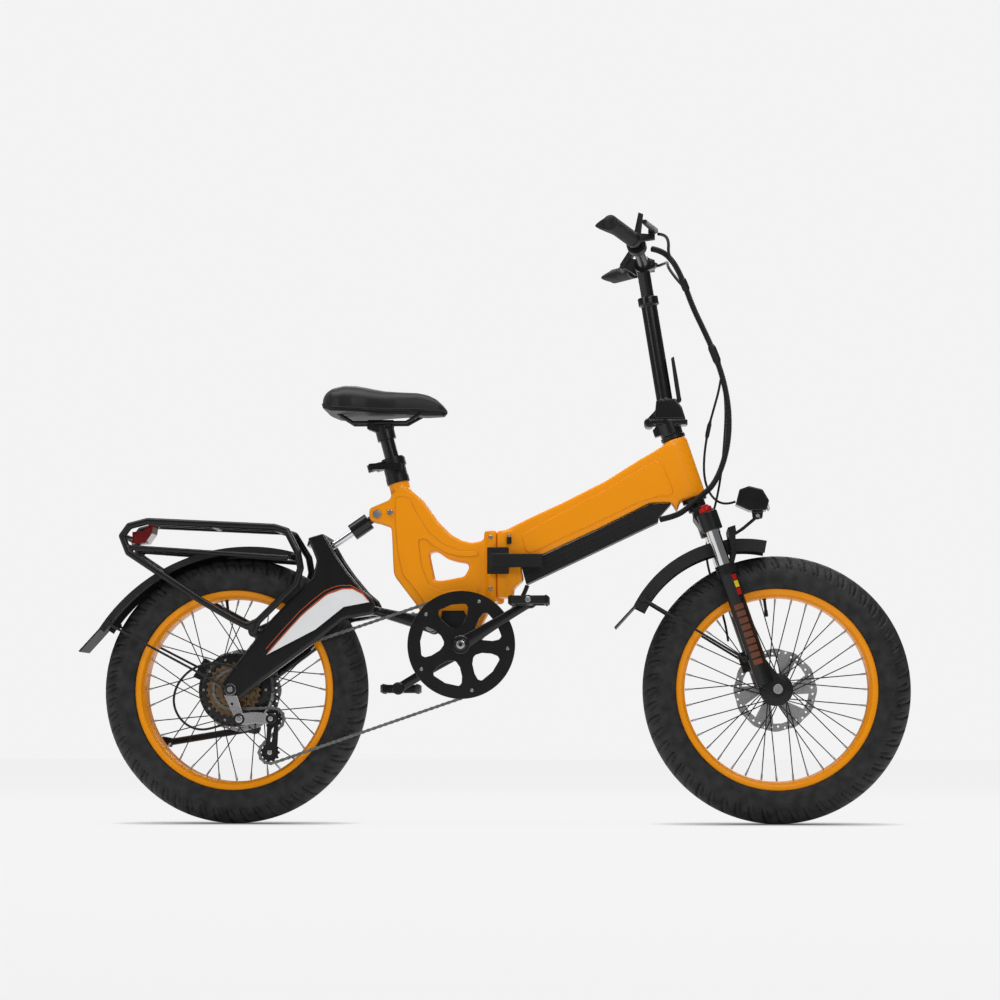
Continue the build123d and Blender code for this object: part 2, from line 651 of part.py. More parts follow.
# ---- steerer, fork and front mudguard ----
crown_s, crown_end = 164.0, 208.0
steerer_top = -27.0
stanchion_top, stanchion_end = 190.0, 470.0
lower_top, lower_end = 305.0, 558.0
with BuildPart() as fork_crown:
    bar(at(fork(steerer_top, 0), 0), at(fork(crown_s + 10, 0), 0), steerer_radius, steerer_radius - 2.5)
    bar(at(fork(head_low + cup_height + 0.4, 0), 0), at(fork(crown_s + 4, 0), 0), 20.0,
        steerer_radius - 0.5)
    slab([fork(crown_s, -10), fork(crown_s, 16), fork(crown_s + 18, 34), fork(crown_end, 34),
          fork(crown_end, -8), fork(crown_s + 18, -16)], -leg_y + 15, leg_y - 15)
    for side in (-1, 1):
        bar(at(fork(182, fork_leg_offset), side * leg_y), at(fork(222, fork_leg_offset), side * leg_y),
            22.0)
        bar(at(fork(stanchion_top, fork_leg_offset), side * leg_y),
            at(fork(223, fork_leg_offset), side * leg_y), stanchion_radius, mode=Mode.SUBTRACT)
        bar(at(fork(170, fork_leg_offset), side * leg_y), at(fork(181.8, fork_leg_offset), side * leg_y),
            13.0)
save(fork_crown, "fork_crown")

with BuildPart() as stanchions:
    for side in (-1, 1):
        bar(at(fork(stanchion_top + 0.2, fork_leg_offset), side * leg_y),
            at(fork(stanchion_end, fork_leg_offset), side * leg_y), stanchion_radius)
save(stanchions, "stanchions")

lamp_pivot = front(558.0, 645.0)
lamp_knee = front(526.0, 618.0)
dropout_in, dropout_out = 67.0, 77.0
arch_radius = tyre_radius + 36.0
with BuildPart() as fork_lowers:
    for side in (-1, 1):
        bar(at(fork(lower_top, fork_leg_offset), side * leg_y),
            at(fork(lower_end, fork_leg_offset), side * leg_y), fork_leg_radius)
        bar(at(fork(lower_top - 8, fork_leg_offset), side * leg_y),
            at(fork(lower_top + 14, fork_leg_offset), side * leg_y), fork_leg_radius + 2.5)
        low, high = sorted((side * dropout_in, side * dropout_out))
        slab([fork(lower_end - 60, 4), fork(lower_end - 60, 26), fork(axle_s - 18, axle_n + 12),
              fork(axle_s, axle_n + 17), fork(axle_s + 15, axle_n + 8), fork(axle_s + 15, axle_n - 8),
              fork(axle_s, axle_n - 16), fork(lower_end, 0)], low, high)
        slab([fork(lower_top + 8, 24), fork(lower_top - 20, 42), fork(lower_top - 79, 60),
              fork(lower_top - 79, 44), fork(lower_top - 26, 34), fork(lower_top - 6, 22)],
             *sorted((side * 56.5, side * (leg_y + 4))))
        slab([fork(lower_top + 30, 22), fork(lower_top + 8, 33), fork(lower_top - 6, 30),
              fork(lower_top - 6, 20), fork(lower_top + 14, 14)],
             *sorted((side * 58, side * (leg_y + 4))))
    slab([fork(lower_top - 79, 44), fork(lower_top - 79, 60), fork(lower_top - 62, 57),
          fork(lower_top - 63, 42)], -leg_y - 4, leg_y + 4)
    disc(front_axle, -half_tyre - 7.5, half_tyre + 7.5, arch_radius, mode=Mode.SUBTRACT)
    foot = fork(lower_top - 70, 58)
    for side in (-1, 1):
        bar((foot[0], side * 8, foot[1] - 4), (lamp_knee[0], side * 8, lamp_knee[1]), 3.0)
    disc(lamp_knee, -11, 11, 3.4)
    bar(at(lamp_knee, 0), (lamp_pivot[0] - 2, 0, lamp_pivot[1] - 2), 3.5)
    disc(lamp_pivot, -6, 6, 7.0)
    for side in (-1, 1):
        bar(at(fork(lower_top - 40, fork_leg_offset), side * leg_y),
            at(fork(lower_end - 40, fork_leg_offset), side * leg_y), stanchion_radius + 0.1,
            mode=Mode.SUBTRACT)
    disc(front_axle, -dropout_out - 1, dropout_out + 1, front_axle_radius, mode=Mode.SUBTRACT)
save(fork_lowers, "fork_lowers")

with BuildPart() as front_axle_bolt:
    disc(front_axle, -dropout_out - 9, dropout_out + 9, front_axle_radius)
    for side in (-1, 1):
        disc(front_axle, *sorted((side * (dropout_out + 0.1), side * (dropout_out + 10))), 10.0)
save(front_axle_bolt, "front_axle")

guard_wall = 3.0
guard_half = half_tyre + 1.4


def mudguard(centre, outer, first, last, tip, skirt, clip, foot, eye, label):
    """A mudguard arc from first to last degree, its side skirts, flared tail flap and stays.

    The stays run from clip to foot, which lies at width foot[1], past an eye round a bolt.
    """
    with BuildPart() as piece:
        for low, high, depth in ((-guard_half, guard_half, guard_wall),
                                 (-guard_half, -guard_half + guard_wall, skirt),
                                 (guard_half - guard_wall, guard_half, skirt)):
            with BuildSketch(Plane.XZ.offset(-high)) as section:
                with BuildLine():
                    big = CenterArc(centre, outer, first, last - first)
                    small = CenterArc(centre, outer - depth, first, last - first)
                    Line(big @ 0, small @ 0)
                    Line(big @ 1, small @ 1)
                make_face()
            extrude(section.sketch, amount=high - low)
        edge = polar(centre, outer, last)
        root = polar(centre, outer - guard_wall, last)
        before = polar(centre, outer - guard_wall, last - 2)
        flare = (tip[0] + 2.5, tip[1] - 2.0)
        slab([before, edge, tip, flare, root], -guard_half, guard_half)
        for side in (-1, 1):
            start = (clip[0], side * (guard_half + 3.4), clip[1])
            end = (foot[0], side * foot[1], foot[2])
            bar(start, end, 2.5)
            disc(clip, *sorted((side * (guard_half - 0.5), side * (guard_half + 7))), 8.0)
            width = sorted((side * (foot[1] - 2.5), side * (foot[1] + 2.5)))
            disc((foot[0], foot[2]), *width, eye + 4.5)
            width = sorted((side * (foot[1] - 6), side * (foot[1] + 6)))
            disc((foot[0], foot[2]), *width, eye, mode=Mode.SUBTRACT)
            bar(at(fork(lower_top, fork_leg_offset), side * leg_y),
                at(fork(lower_end, fork_leg_offset), side * leg_y), fork_leg_radius,
                mode=Mode.SUBTRACT)
    save(piece, label)


stay_foot = fork(lower_end - 62, -11)
front_guard_outer = tyre_radius - 22.0
rear_guard_outer = tyre_radius + 98.8
mudguard(front(526.0, 336.2), front_guard_outer, 79.0, 153.0, front(256, 410), 26.0, front(316, 470),
         (stay_foot[0], leg_y, stay_foot[1]), 2.0, "front_mudguard")
mudguard(back(-513.2, 202.8), rear_guard_outer, 76.0, 147.0, back(-874, 362), 14.0, back(-811.5, 419.5),
         (rear_axle[0], arm_outer + 11.6, rear_axle[1]), rear_axle_radius, "rear_mudguard")


with BuildPart() as headlight:
    slab([front(512, 668), front(520, 700), front(540, 707), front(568, 700), front(582, 676),
          front(576, 656), front(560, 654.5), front(540, 655)], -26, 26)
    slab([front(548, 640), front(568, 640), front(570, 656), front(546, 656)], -12, -6.5)
    slab([front(548, 640), front(568, 640), front(570, 656), front(546, 656)], 6.5, 12)
save(headlight, "headlight")

caliper_s, caliper_n = axle_s - 74.0, axle_n - 38.0
with BuildPart() as front_caliper:
    slab([fork(caliper_s - 24, caliper_n - 14), fork(caliper_s - 24, caliper_n + 16),
          fork(caliper_s + 18, caliper_n + 16), fork(caliper_s + 20, caliper_n - 14)],
         rotor_y - 12, leg_y - fork_leg_radius - 0.4)
    disc(front_axle, rotor_y - 1.8, rotor_y + 1.8, 89.5, mode=Mode.SUBTRACT)
save(front_caliper, "front_caliper")

# ---- stem, riser and cockpit ----
stem_pivot = front(330.0, 842.0)
joint_z = front(0, 850)[1]
STEM_UP = (-0.1555, 0.9878)
stem_base_point = front(370.6, 850.0)


def stem_at(distance, ahead=0.0):
    """A side-view point up the stem from its fold face, and forward of it."""
    return (stem_base_point[0] + distance * STEM_UP[0] + ahead * STEM_UP[1],
            stem_base_point[1] + distance * STEM_UP[1] - ahead * STEM_UP[0])


with BuildPart() as stem_base:
    bar(at(fork(-40, 0), 0), at(fork(-1, 0), 0), 24.0)
    slab([fork(-8, -36), fork(-30, -36), fork(-30, -10), fork(-8, -10)], -12, 12)
    plan([(stem_pivot[0] - 2, -24), (front(406, 0)[0], -22), (front(412, 0)[0], -10),
          (front(412, 0)[0], 10), (front(406, 0)[0], 22), (stem_pivot[0] - 2, 24)],
         joint_z - 12, joint_z - gap / 2)
    disc(stem_pivot, -24, 24, 10.0)
    disc(stem_pivot, -14, 14, 16.0, mode=Mode.SUBTRACT)
    disc(stem_pivot, -25, 25, 5.0, mode=Mode.SUBTRACT)
    plan([(stem_pivot[0] + 10.5, -30), (front(440, 0)[0], -30), (front(440, 0)[0], 30),
          (stem_pivot[0] + 10.5, 30)], joint_z - gap / 2, joint_z + 40, mode=Mode.SUBTRACT)
    bar(at(fork(steerer_top, 0), 0), at(fork(0, 0), 0), steerer_radius, mode=Mode.SUBTRACT)
    disc(stem_pivot, -24, 24, 5.0)
    for side in (-1, 1):
        disc(stem_pivot, *sorted((side * 24, side * 27)), 8.0)
save(stem_base, "stem_base")

stem_outer = riser_radius + running + stem_wall
stem_top = 266.0
with BuildPart() as stem:
    bar(at(stem_at(6), 0), at(stem_at(stem_top), 0), stem_outer)
    slab([(stem_pivot[0] + 12, joint_z + gap / 2), (front(408, 0)[0], joint_z + gap / 2),
          (front(400, 0)[0], joint_z + 26), (front(386, 0)[0], joint_z + 44),
          (front(346, 0)[0], joint_z + 40)], -22, 22)
    disc(stem_pivot, -13.6, 13.6, 10.0)
    slab([(stem_pivot[0] - 6, stem_pivot[1] + 7), (stem_pivot[0] + 14, joint_z + 20),
          (stem_pivot[0] + 14, joint_z + gap / 2), (stem_pivot[0] + 9, joint_z + gap / 2),
          (stem_pivot[0] + 4, joint_z - 2)], -13.6, 13.6)
    bar(at(stem_at(stem_top - 18), 0), at(stem_at(stem_top), 0), stem_outer + 5)
    bar(at(stem_at(40), 0), at(stem_at(stem_top + 1), 0), riser_radius + running, mode=Mode.SUBTRACT)
    disc(stem_pivot, -14, 14, 5.0 + running, mode=Mode.SUBTRACT)
save(stem, "stem")

latch_foot = front(394.0, 893.0)
with BuildPart() as stem_latch:
    disc(latch_foot, -10, 10, 5.5)
    slab([(latch_foot[0] - 4, latch_foot[1]), (latch_foot[0] - 10, latch_foot[1] + 40),
          (latch_foot[0] - 16, latch_foot[1] + 88), (latch_foot[0] - 10, latch_foot[1] + 92),
          (latch_foot[0] - 1, latch_foot[1] + 40), (latch_foot[0] + 5, latch_foot[1])], -10, 10)
save(stem_latch, "stem_latch")

bar_place = front(318.4, 1182.0)
riser_end = (bar_place[1] - stem_base_point[1]) / STEM_UP[1] - 12.0
with BuildPart() as riser:
    bar(at(stem_at(110), 0), at(stem_at(riser_end), 0), riser_radius, riser_radius - 2.5)
    disc(bar_place, -22, 22, bar_radius + 7)
    slab([(bar_place[0] + 10, bar_place[1] - 14), (bar_place[0] + 26, bar_place[1] - 8),
          (bar_place[0] + 26, bar_place[1] + 8), (bar_place[0] + 10, bar_place[1] + 14)], -20, 20)
    disc(bar_place, -23, 23, bar_radius, mode=Mode.SUBTRACT)
save(riser, "riser")

bend = front(303.0, 1202.0)
grip_end = front(254.0, 1214.0)
flat_y, bend_y = 60.0, 180.0
GRIP_START, GRIP_END = 0.16, 1.0
CLAMP_START, CLAMP_END = 0.03, 0.14
SHIFTER_START, SHIFTER_END = 0.66, 0.83


def between(start, end, share):
    """The 3-D point this share of the way from start to end."""
    return tuple(Vector(*start) + (Vector(*end) - Vector(*start)) * share)


def bar_bend(side):
    """The handlebar's bend on one side."""
    return at(bend, side * bend_y)


def bar_end(side):
    """The handlebar's end on one side."""
    return at(grip_end, side * bar_half_width)


def bar_run(radius, mode=Mode.ADD):
    """The whole handlebar as one round run."""
    disc(bar_place, -flat_y, flat_y, radius, mode=mode)
    for side in (-1, 1):
        bar(at(bar_place, side * flat_y), bar_bend(side), radius, mode=mode)
        bar(bar_bend(side), between(bar_bend(side), bar_end(side), 0.98), radius, mode=mode)
        for place in (at(bar_place, side * flat_y), bar_bend(side)):
            with Locations(place):
                Sphere(radius, mode=mode)


with BuildPart() as handlebar:
    bar_run(bar_radius)
save(handlebar, "handlebar")

with BuildPart() as grips:
    for side in (-1, 1):
        bar(between(bar_bend(side), bar_end(side), GRIP_START),
            between(bar_bend(side), bar_end(side), GRIP_END), 16.0)
    bar_run(bar_radius, mode=Mode.SUBTRACT)
save(grips, "grips")

with BuildPart() as cockpit:
    for side in (-1, 1):
        bar(between(bar_bend(side), bar_end(side), CLAMP_START),
            between(bar_bend(side), bar_end(side), CLAMP_END), bar_radius + 5)
        hub = between(bar_bend(side), bar_end(side), (CLAMP_START + CLAMP_END) / 2)
        slab([(hub[0] + 8, hub[2] - 6), (hub[0] + 46, hub[2] - 1), (hub[0] + 46, hub[2] + 9),
              (hub[0] + 8, hub[2] + 11)], hub[1] - 8, hub[1] + 8)
    slab([(bar_place[0] - 50, bar_place[1] + 2), (bar_place[0] - 22, bar_place[1] + 44),
          (bar_place[0] - 14, bar_place[1] + 40), (bar_place[0] - 42, bar_place[1] - 3)], 30, 80)
    slab([(bar_place[0] - 40, bar_place[1] + 2), (bar_place[0] - 27, bar_place[1] + 22),
          (bar_place[0] + 10, bar_place[1] + 16), (bar_place[0] + 14, bar_place[1] - 14),
          (bar_place[0] - 14, bar_place[1] - 14)], 36, 48)
    bar_run(bar_radius, mode=Mode.SUBTRACT)
save(cockpit, "cockpit")

lever_gap = 0.3
perch = between(bar_bend(1), bar_end(1), (CLAMP_START + CLAMP_END) / 2)
lever_hub = (perch[0] + 39.0, perch[2])
lever_y = perch[1]
lever_low = lever_hub[1] + 10.4 + lever_gap
for side, name in ((-1, "brake_lever_right"), (1, "brake_lever_left")):
    with BuildPart() as brake_lever:
        plan([(lever_hub[0] - 7, side * (lever_y - 7)), (lever_hub[0] + 7, side * (lever_y - 7)),
              (lever_hub[0] + 14, side * (lever_y + 12)), (lever_hub[0] - 10, side * (lever_y + 112)),
              (lever_hub[0] - 19, side * (lever_y + 111)), (lever_hub[0] + 1, side * (lever_y + 16)),
              (lever_hub[0] - 7, side * (lever_y + 7))], lever_low, lever_low + 9)
        bar((lever_hub[0], side * lever_y, lever_low - 1), (lever_hub[0], side * lever_y, lever_low + 10),
            2.5, mode=Mode.SUBTRACT)
    save(brake_lever, name)

shifter_start = between(at(bar_place, -flat_y), bar_bend(-1), SHIFTER_START)
shifter_end = between(at(bar_place, -flat_y), bar_bend(-1), SHIFTER_END)
shifter_mid = between(shifter_start, shifter_end, 0.5)
with BuildPart() as shift_lever:
    bar(shifter_start, shifter_end, bar_radius + 9, bar_radius + running)
    slab([(shifter_mid[0] - 8, shifter_mid[2] + 14), (shifter_mid[0] + 4, shifter_mid[2] + 70),
          (shifter_mid[0] + 14, shifter_mid[2] + 66), (shifter_mid[0] + 8, shifter_mid[2] + 14)],
         shifter_mid[1] - 4, shifter_mid[1] + 4)
save(shift_lever, "shift_lever")

# ---- swingarm ----
arm_outline = [
    back(-385, 597), back(-351, 607), back(-323, 558), back(-302, 528), back(-270, 489),
    back(-250, 472), back(-242, 455), back(-246, 436), back(-278, 431), back(-308, 426),
    back(-367, 379), (rear_axle[0] + 60, rear_axle[1] + 13), (rear_axle[0] + 18, rear_axle[1] - 22),
    (rear_axle[0] - 18, rear_axle[1] - 20), (rear_axle[0] - 22, rear_axle[1] + 12),
    back(-546, 320), back(-460, 428), back(-374, 515), back(-366, 549)]
panel_outline = [
    back(-470, 352), back(-396, 434), back(-344, 477), back(-310, 489), back(-289, 489),
    back(-268, 478), back(-254, 462), back(-278, 457.5), back(-308, 452), back(-367, 405)]
panel_depth = 2.0
rack_lug = back(-497, 402)
boss_in, boss_out = 30.0, 50.0
cog_clearance = 52.0
with BuildPart() as swingarm:
    for side in (-1, 1):
        low, high = sorted((side * boss_in, side * boss_out))
        disc(arm_pivot, low, high, 17.0)
        with BuildPart() as strut:
            slab([back(-292, 446), back(-250, 456), back(-232, 452), (arm_pivot[0] + 2, arm_pivot[1] + 16),
                  (arm_pivot[0] - 4, arm_pivot[1] - 15), back(-246, 436), back(-292, 428)], -100, 100)
            outline = [(back(-292, 0)[0], arm_outer), (back(-276, 0)[0], arm_outer),
                       (back(-238, 0)[0], boss_out), (arm_pivot[0], boss_out),
                       (arm_pivot[0], boss_in), (back(-250, 0)[0], boss_in),
                       (back(-292, 0)[0], arm_inner)]
            plan([(x, side * y) for x, y in outline], arm_pivot[1] - 40, arm_pivot[1] + 60,
                 mode=Mode.INTERSECT)
        low, high = sorted((side * arm_inner, side * arm_outer))
        slab(arm_outline, low, high)
        disc(rack_lug, low, high, 13.0)
        low, high = sorted((side * (arm_outer - panel_depth), side * (arm_outer + 1)))
        slab(panel_outline, low, high, mode=Mode.SUBTRACT)
    slab([back(-385, 597), back(-351, 607), back(-345, 596), back(-352, 591), back(-378, 589),
          back(-390, 578)], -arm_inner, arm_inner)
    for side in (-1, 1):
        low, high = sorted((side * 9.5, side * 22))
        disc(shock_low, low, high, 15.0)
        slab([back(-384, 592), back(-346, 598), (shock_low[0] + 14, shock_low[1] + 4),
              (shock_low[0] - 14, shock_low[1] - 4)], low, high)
    slab([(rear_axle[0] - 4, rear_axle[1] - 19), (rear_axle[0] + 40, rear_axle[1] - 6),
          (rear_axle[0] + 38, rear_axle[1] - 92), (rear_axle[0] + 12, rear_axle[1] - 92)],
         arm_outer - 9, arm_outer)
    disc(shock_low, -23, 23, 5.0, mode=Mode.SUBTRACT)
    disc(arm_pivot, -60, 60, pivot_pin_radius + running, mode=Mode.SUBTRACT)
    disc(rear_axle, -arm_inner - 10, -arm_inner + 1, cog_clearance, mode=Mode.SUBTRACT)
    disc(rear_axle, -arm_outer - 1, arm_outer + 1, rear_axle_radius, mode=Mode.SUBTRACT)
save(swingarm, "swingarm")

with BuildPart() as accent_panels:
    for side in (-1, 1):
        low, high = sorted((side * (arm_outer - panel_depth + 0.05), side * (arm_outer + 0.4)))
        slab(panel_outline, low, high)
save(accent_panels, "accent_panels")

with BuildPart() as rear_axle_bolt:
    disc(rear_axle, -arm_outer - 14, arm_outer + 14, rear_axle_radius)
    for side in (-1, 1):
        disc(rear_axle, *sorted((side * (arm_outer + 0.1), side * (arm_outer + 7))), 12.0)
    disc(shock_low, -22, 22, 5.0)
    for side in (-1, 1):
        disc(shock_low, *sorted((side * 22.1, side * 26)), 9.0)
save(rear_axle_bolt, "rear_axle")

caliper_angle = 150.0
caliper_place = polar(rear_axle, 82.0, caliper_angle)
with BuildPart() as rear_caliper:
    slab([polar(rear_axle, 66, caliper_angle - 18), polar(rear_axle, 104, caliper_angle - 12),
          polar(rear_axle, 106, caliper_angle + 14), polar(rear_axle, 66, caliper_angle + 18)],
         rear_rotor_y - 11, arm_inner - 0.1)
    disc(rear_axle, rear_rotor_y - 1.8, rear_rotor_y + 1.8, 89.5, mode=Mode.SUBTRACT)
    slab([polar(rear_axle, 24, caliper_angle - 40), polar(rear_axle, 100, caliper_angle - 10),
          polar(rear_axle, 100, caliper_angle + 8), polar(rear_axle, 22, caliper_angle + 20)],
         arm_inner - 6, arm_inner - 0.1)
    disc(rear_axle, arm_inner - 7, arm_inner, 20.0, mode=Mode.SUBTRACT)
save(rear_caliper, "rear_caliper")

rack_y, rack_tube = 64.0, 7.5
rack_shift = arm_outer + 8.0
with BuildPart() as rack:
    side_route = [back(-727, 635), back(-458, 621.5), back(-431, 613), back(-404, 566), back(-398, 533),
                  back(-408, 500), back(-487, 422), back(-497, 400)]
    loop_route = [back(-727, 635), back(-766, 625), back(-781, 604), back(-767, 569),
                  back(-714, 534), back(-606, 464), back(-538, 426), back(-510, 412)]
    for side in (-1, 1):
        spread = [rack_y, rack_y, rack_y, rack_shift, rack_shift, rack_shift, rack_shift, rack_shift]
        side_points = [at(point, side * y) for point, y in zip(side_route, spread)]
        spread = [rack_y, rack_y, rack_y, rack_y, rack_y, rack_y + 12, rack_shift, rack_shift]
        loop_points = [at(point, side * y) for point, y in zip(loop_route, spread)]
        for route in (side_points, loop_points):
            for start, end in zip(route, route[1:]):
                bar(start, end, rack_tube)
                with Locations(end):
                    Sphere(rack_tube)
        bar(at(back(-765, 580), side * rack_y), at(back(-425, 555), side * (rack_shift - 8)), rack_tube - 2)
        bar(at(back(-510, 412), side * rack_shift), at(back(-487, 422), side * rack_shift), rack_tube)
        disc(rack_lug, *sorted((side * (arm_outer + 0.3), side * (rack_shift + 4))), 10.0)
    for x, z in ((-727, 635), (-593, 628.4), (-458, 621.5), (-781, 604)):
        bar(at(back(x, z), -rack_y), at(back(x, z), rack_y), rack_tube - 1)
    for y in (-20, 20):
        bar(at(back(-727, 635), y), at(back(-458, 621.5), y), rack_tube - 2.5)
save(rack, "rack")

with BuildPart() as tail_light:
    slab([back(-766, 590), back(-766, 615), back(-742, 617), back(-730, 631), back(-721, 631),
          back(-724, 612), back(-738, 592)], -30, 30)
    bar(at(back(-727, 635), -rack_y), at(back(-727, 635), rack_y), rack_tube - 1 + 0.1,
        mode=Mode.SUBTRACT)
    for y in (-20, 20):
        bar(at(back(-727, 635), y), at(back(-458, 621.5), y), rack_tube - 2.5 + 0.1, mode=Mode.SUBTRACT)
save(tail_light, "tail_light")

# ---- shock ----
shock_length = hypot(shock_top[0] - shock_low[0], shock_top[1] - shock_low[1])
with BuildPart() as shock_body:
    disc(shock_top, -8.8, 8.8, 14.0)
    bar(at(along(shock_top, shock_low, 4), 0), at(along(shock_top, shock_low, 24), 0), 8.6)
    bar(at(along(shock_top, shock_low, 23), 0), at(along(shock_top, shock_low, 66), 0), 18.0)
    disc(shock_top, -10, 10, 5.0 + running, mode=Mode.SUBTRACT)
    bar(at(along(shock_top, shock_low, 25), 0), at(along(shock_top, shock_low, 67), 0), 7.6,
        mode=Mode.SUBTRACT)
save(shock_body, "shock_body")

with BuildPart() as shock_shaft:
    bar(at(along(shock_low, shock_top, 12), 0), at(along(shock_low, shock_top, 86), 0), 7.5)
    bar(at(along(shock_low, shock_top, 20), 0), at(along(shock_low, shock_top, 28), 0), 9.2)
    disc(shock_low, -8.8, 8.8, 14.0)
    disc(shock_low, -10, 10, 6.2, mode=Mode.SUBTRACT)
save(shock_shaft, "shock_shaft")

# ---- kickstand ----
stand_pivot = (rear_axle[0] + 25.0, rear_axle[1] - 80.0)
stand_length = 196.0
stand_tip = (stand_pivot[0] - stand_length * 0.987, stand_pivot[1] - stand_length * 0.16)
with BuildPart() as kickstand:
    disc(stand_pivot, arm_outer + gap, arm_outer + 14, 13.0)
    bar(at(stand_pivot, arm_outer + 9), at(stand_tip, arm_outer + 18), 7.5)
    slab([(stand_tip[0] - 12, stand_tip[1] - 2), (stand_tip[0] + 12, stand_tip[1] - 10),
          (stand_tip[0] + 14, stand_tip[1] + 10), (stand_tip[0] - 8, stand_tip[1] + 14)],
         arm_outer + 8, arm_outer + 29)
save(kickstand, "kickstand")

# ---- cables and hoses ----
def hose(points, radius):
    """A hose along straight runs joined by tangent arcs, with its bend radii."""
    vectors = [Vector(*point) for point in points]
    radii = []
    for before, here, after in zip(vectors, vectors[1:], vectors[2:]):
        turn = (here - before).get_angle(after - here)
        shorter = min((here - before).length, (after - here).length)
        radii.append(0.45 * shorter / tan(radians(turn) / 2))
    print("hose radii", [round(value) for value in radii])
    with BuildLine() as route:
        FilletPolyline(*points, radius=radii)
    with BuildSketch(Plane(origin=points[0], z_dir=vectors[1] - vectors[0])) as section:
        Circle(radius)
    sweep(section.sketch, path=route.line)


def placed(route, carry):
    """A hose's hand-chosen (x, y, z) points carried with the half they belong to."""
    return [at(carry(x, z), y) for x, y, z in route]


conduit_route = [(338, -96, 1200), (361, -84, 1198), (386, -70, 1174), (406, -60, 1132),
                 (424, -53, 1082), (448, -48, 1032), (472, -45, 978), (490, -43, 920),
                 (499, -43, 860), (497, -44, 800), (484, -45, 746), (463, -46, 704),
                 (438, -47, 684), (412, -42, 660), (386, -32, 643), (353, -20, 637)]
lamp_route = [(482, -36.2, 932), (478, -28, 908), (468, -20, 874), (455, -14, 828), (446, -8, 772),
              (446, -3, 722), (462, 0, 684), (490, 0, 668), (512, 0, 676)]
brake_route = [(478, -37, 968), (488, -14, 930), (494, 14, 872), (490, 44, 800), (484, 64, 740),
               (474, 94, 684), (458, 104, 630), (450, 106, 572), (462, 102, 516), (480, 94, 462),
               (492, 74, 418), (496, 58, 384)]
fold_route = [(73, -14, 499.8), (62, -14, 470), (38, -16, 444), (14, -18, 424), (-10, -19, 404),
              (-30, -20, 384)]
gear_route = [(-528, -86.9, 324), (-560, -89.5, 334), (-594, -93, 334), (-628, -97, 322), (-656, -98, 290),
              (-664, -98, 252), (-648, -97, 216), (-616, -96, 196), (-580, -95, 198),
              (-539.5, -93, 214)]
with BuildPart() as control_cables:
    hose(placed(conduit_route, front), 6.0)
    hose(placed(lamp_route, front), 2.5)
    hose(placed(brake_route, front), 2.5)
save(control_cables, "control_cables")

with BuildPart() as rear_cables:
    hose(placed(fold_route, back), 5.0)
    hose(placed(gear_route, back), 2.5)
save(rear_cables, "rear_cables")
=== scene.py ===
"""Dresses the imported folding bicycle: materials, tyres, chain, saddle, cables and fittings.

All drawing here is in millimetres in the row frame (+X forward, +Y the rider's left, +Z up)
and is scaled to metres as each mesh is made.
"""
import json
import math

import bmesh
import bpy
import numpy as np
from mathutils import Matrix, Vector

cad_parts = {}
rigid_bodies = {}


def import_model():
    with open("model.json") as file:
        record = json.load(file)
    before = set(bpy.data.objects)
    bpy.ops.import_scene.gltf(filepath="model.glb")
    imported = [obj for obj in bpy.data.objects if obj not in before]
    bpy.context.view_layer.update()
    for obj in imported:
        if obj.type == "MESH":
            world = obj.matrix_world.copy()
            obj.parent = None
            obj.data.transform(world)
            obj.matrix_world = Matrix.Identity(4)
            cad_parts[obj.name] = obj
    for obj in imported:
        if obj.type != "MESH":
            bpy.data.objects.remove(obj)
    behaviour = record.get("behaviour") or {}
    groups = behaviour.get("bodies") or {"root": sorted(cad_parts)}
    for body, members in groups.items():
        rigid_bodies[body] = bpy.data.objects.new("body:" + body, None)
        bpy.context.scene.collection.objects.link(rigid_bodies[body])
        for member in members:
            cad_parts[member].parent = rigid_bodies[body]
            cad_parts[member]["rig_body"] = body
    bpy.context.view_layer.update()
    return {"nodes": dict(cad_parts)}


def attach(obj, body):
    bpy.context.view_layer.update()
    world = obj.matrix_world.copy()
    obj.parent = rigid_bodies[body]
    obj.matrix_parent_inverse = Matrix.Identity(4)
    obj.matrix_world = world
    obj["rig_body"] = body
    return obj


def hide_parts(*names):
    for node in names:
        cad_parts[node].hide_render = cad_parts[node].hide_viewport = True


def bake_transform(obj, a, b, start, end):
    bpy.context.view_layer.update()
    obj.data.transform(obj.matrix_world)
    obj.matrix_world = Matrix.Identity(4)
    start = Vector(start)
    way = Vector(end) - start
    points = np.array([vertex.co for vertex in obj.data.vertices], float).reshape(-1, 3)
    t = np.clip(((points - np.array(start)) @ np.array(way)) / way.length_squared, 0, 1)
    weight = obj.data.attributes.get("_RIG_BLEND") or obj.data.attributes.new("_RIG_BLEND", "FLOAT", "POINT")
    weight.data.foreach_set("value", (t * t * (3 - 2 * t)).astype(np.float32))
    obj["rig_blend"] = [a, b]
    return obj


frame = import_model()
MM = 0.001

# ---- measures shared with the CAD model ----
REAR = (-544.0, 280.0)
FRONT = (594.0, 280.0)
CRANK = (-63.0, 373.0)
RIM_RADIUS = 210.0
TYRE_RADIUS = 280.0
HALF_TYRE = 49.0
CHAIN_LINE = 60.0
CHAIN_PITCH = 12.7
ARM_OUTER = 84.0
LEG_Y = 73.0
HEAD_TOP = (380.0, 816.0)
HEAD_DOWN = (0.3173, -0.9483)
HEAD_AHEAD = (0.9483, 0.3173)
CRANK_LENGTH = 170.0
CRANK_ANGLE = 31.3
LEG_AHEAD = 12.0
LEG_SKIN = 18.15
BATTERY_SKIN = 25.9


def fork(s, n):
    """A side-view point s down the head axis and n ahead of it."""
    return (HEAD_TOP[0] + s * HEAD_DOWN[0] + n * HEAD_AHEAD[0],
            HEAD_TOP[1] + s * HEAD_DOWN[1] + n * HEAD_AHEAD[1])


def at(point, y):
    """A side-view point carried to width y."""
    return (point[0], y, point[1])


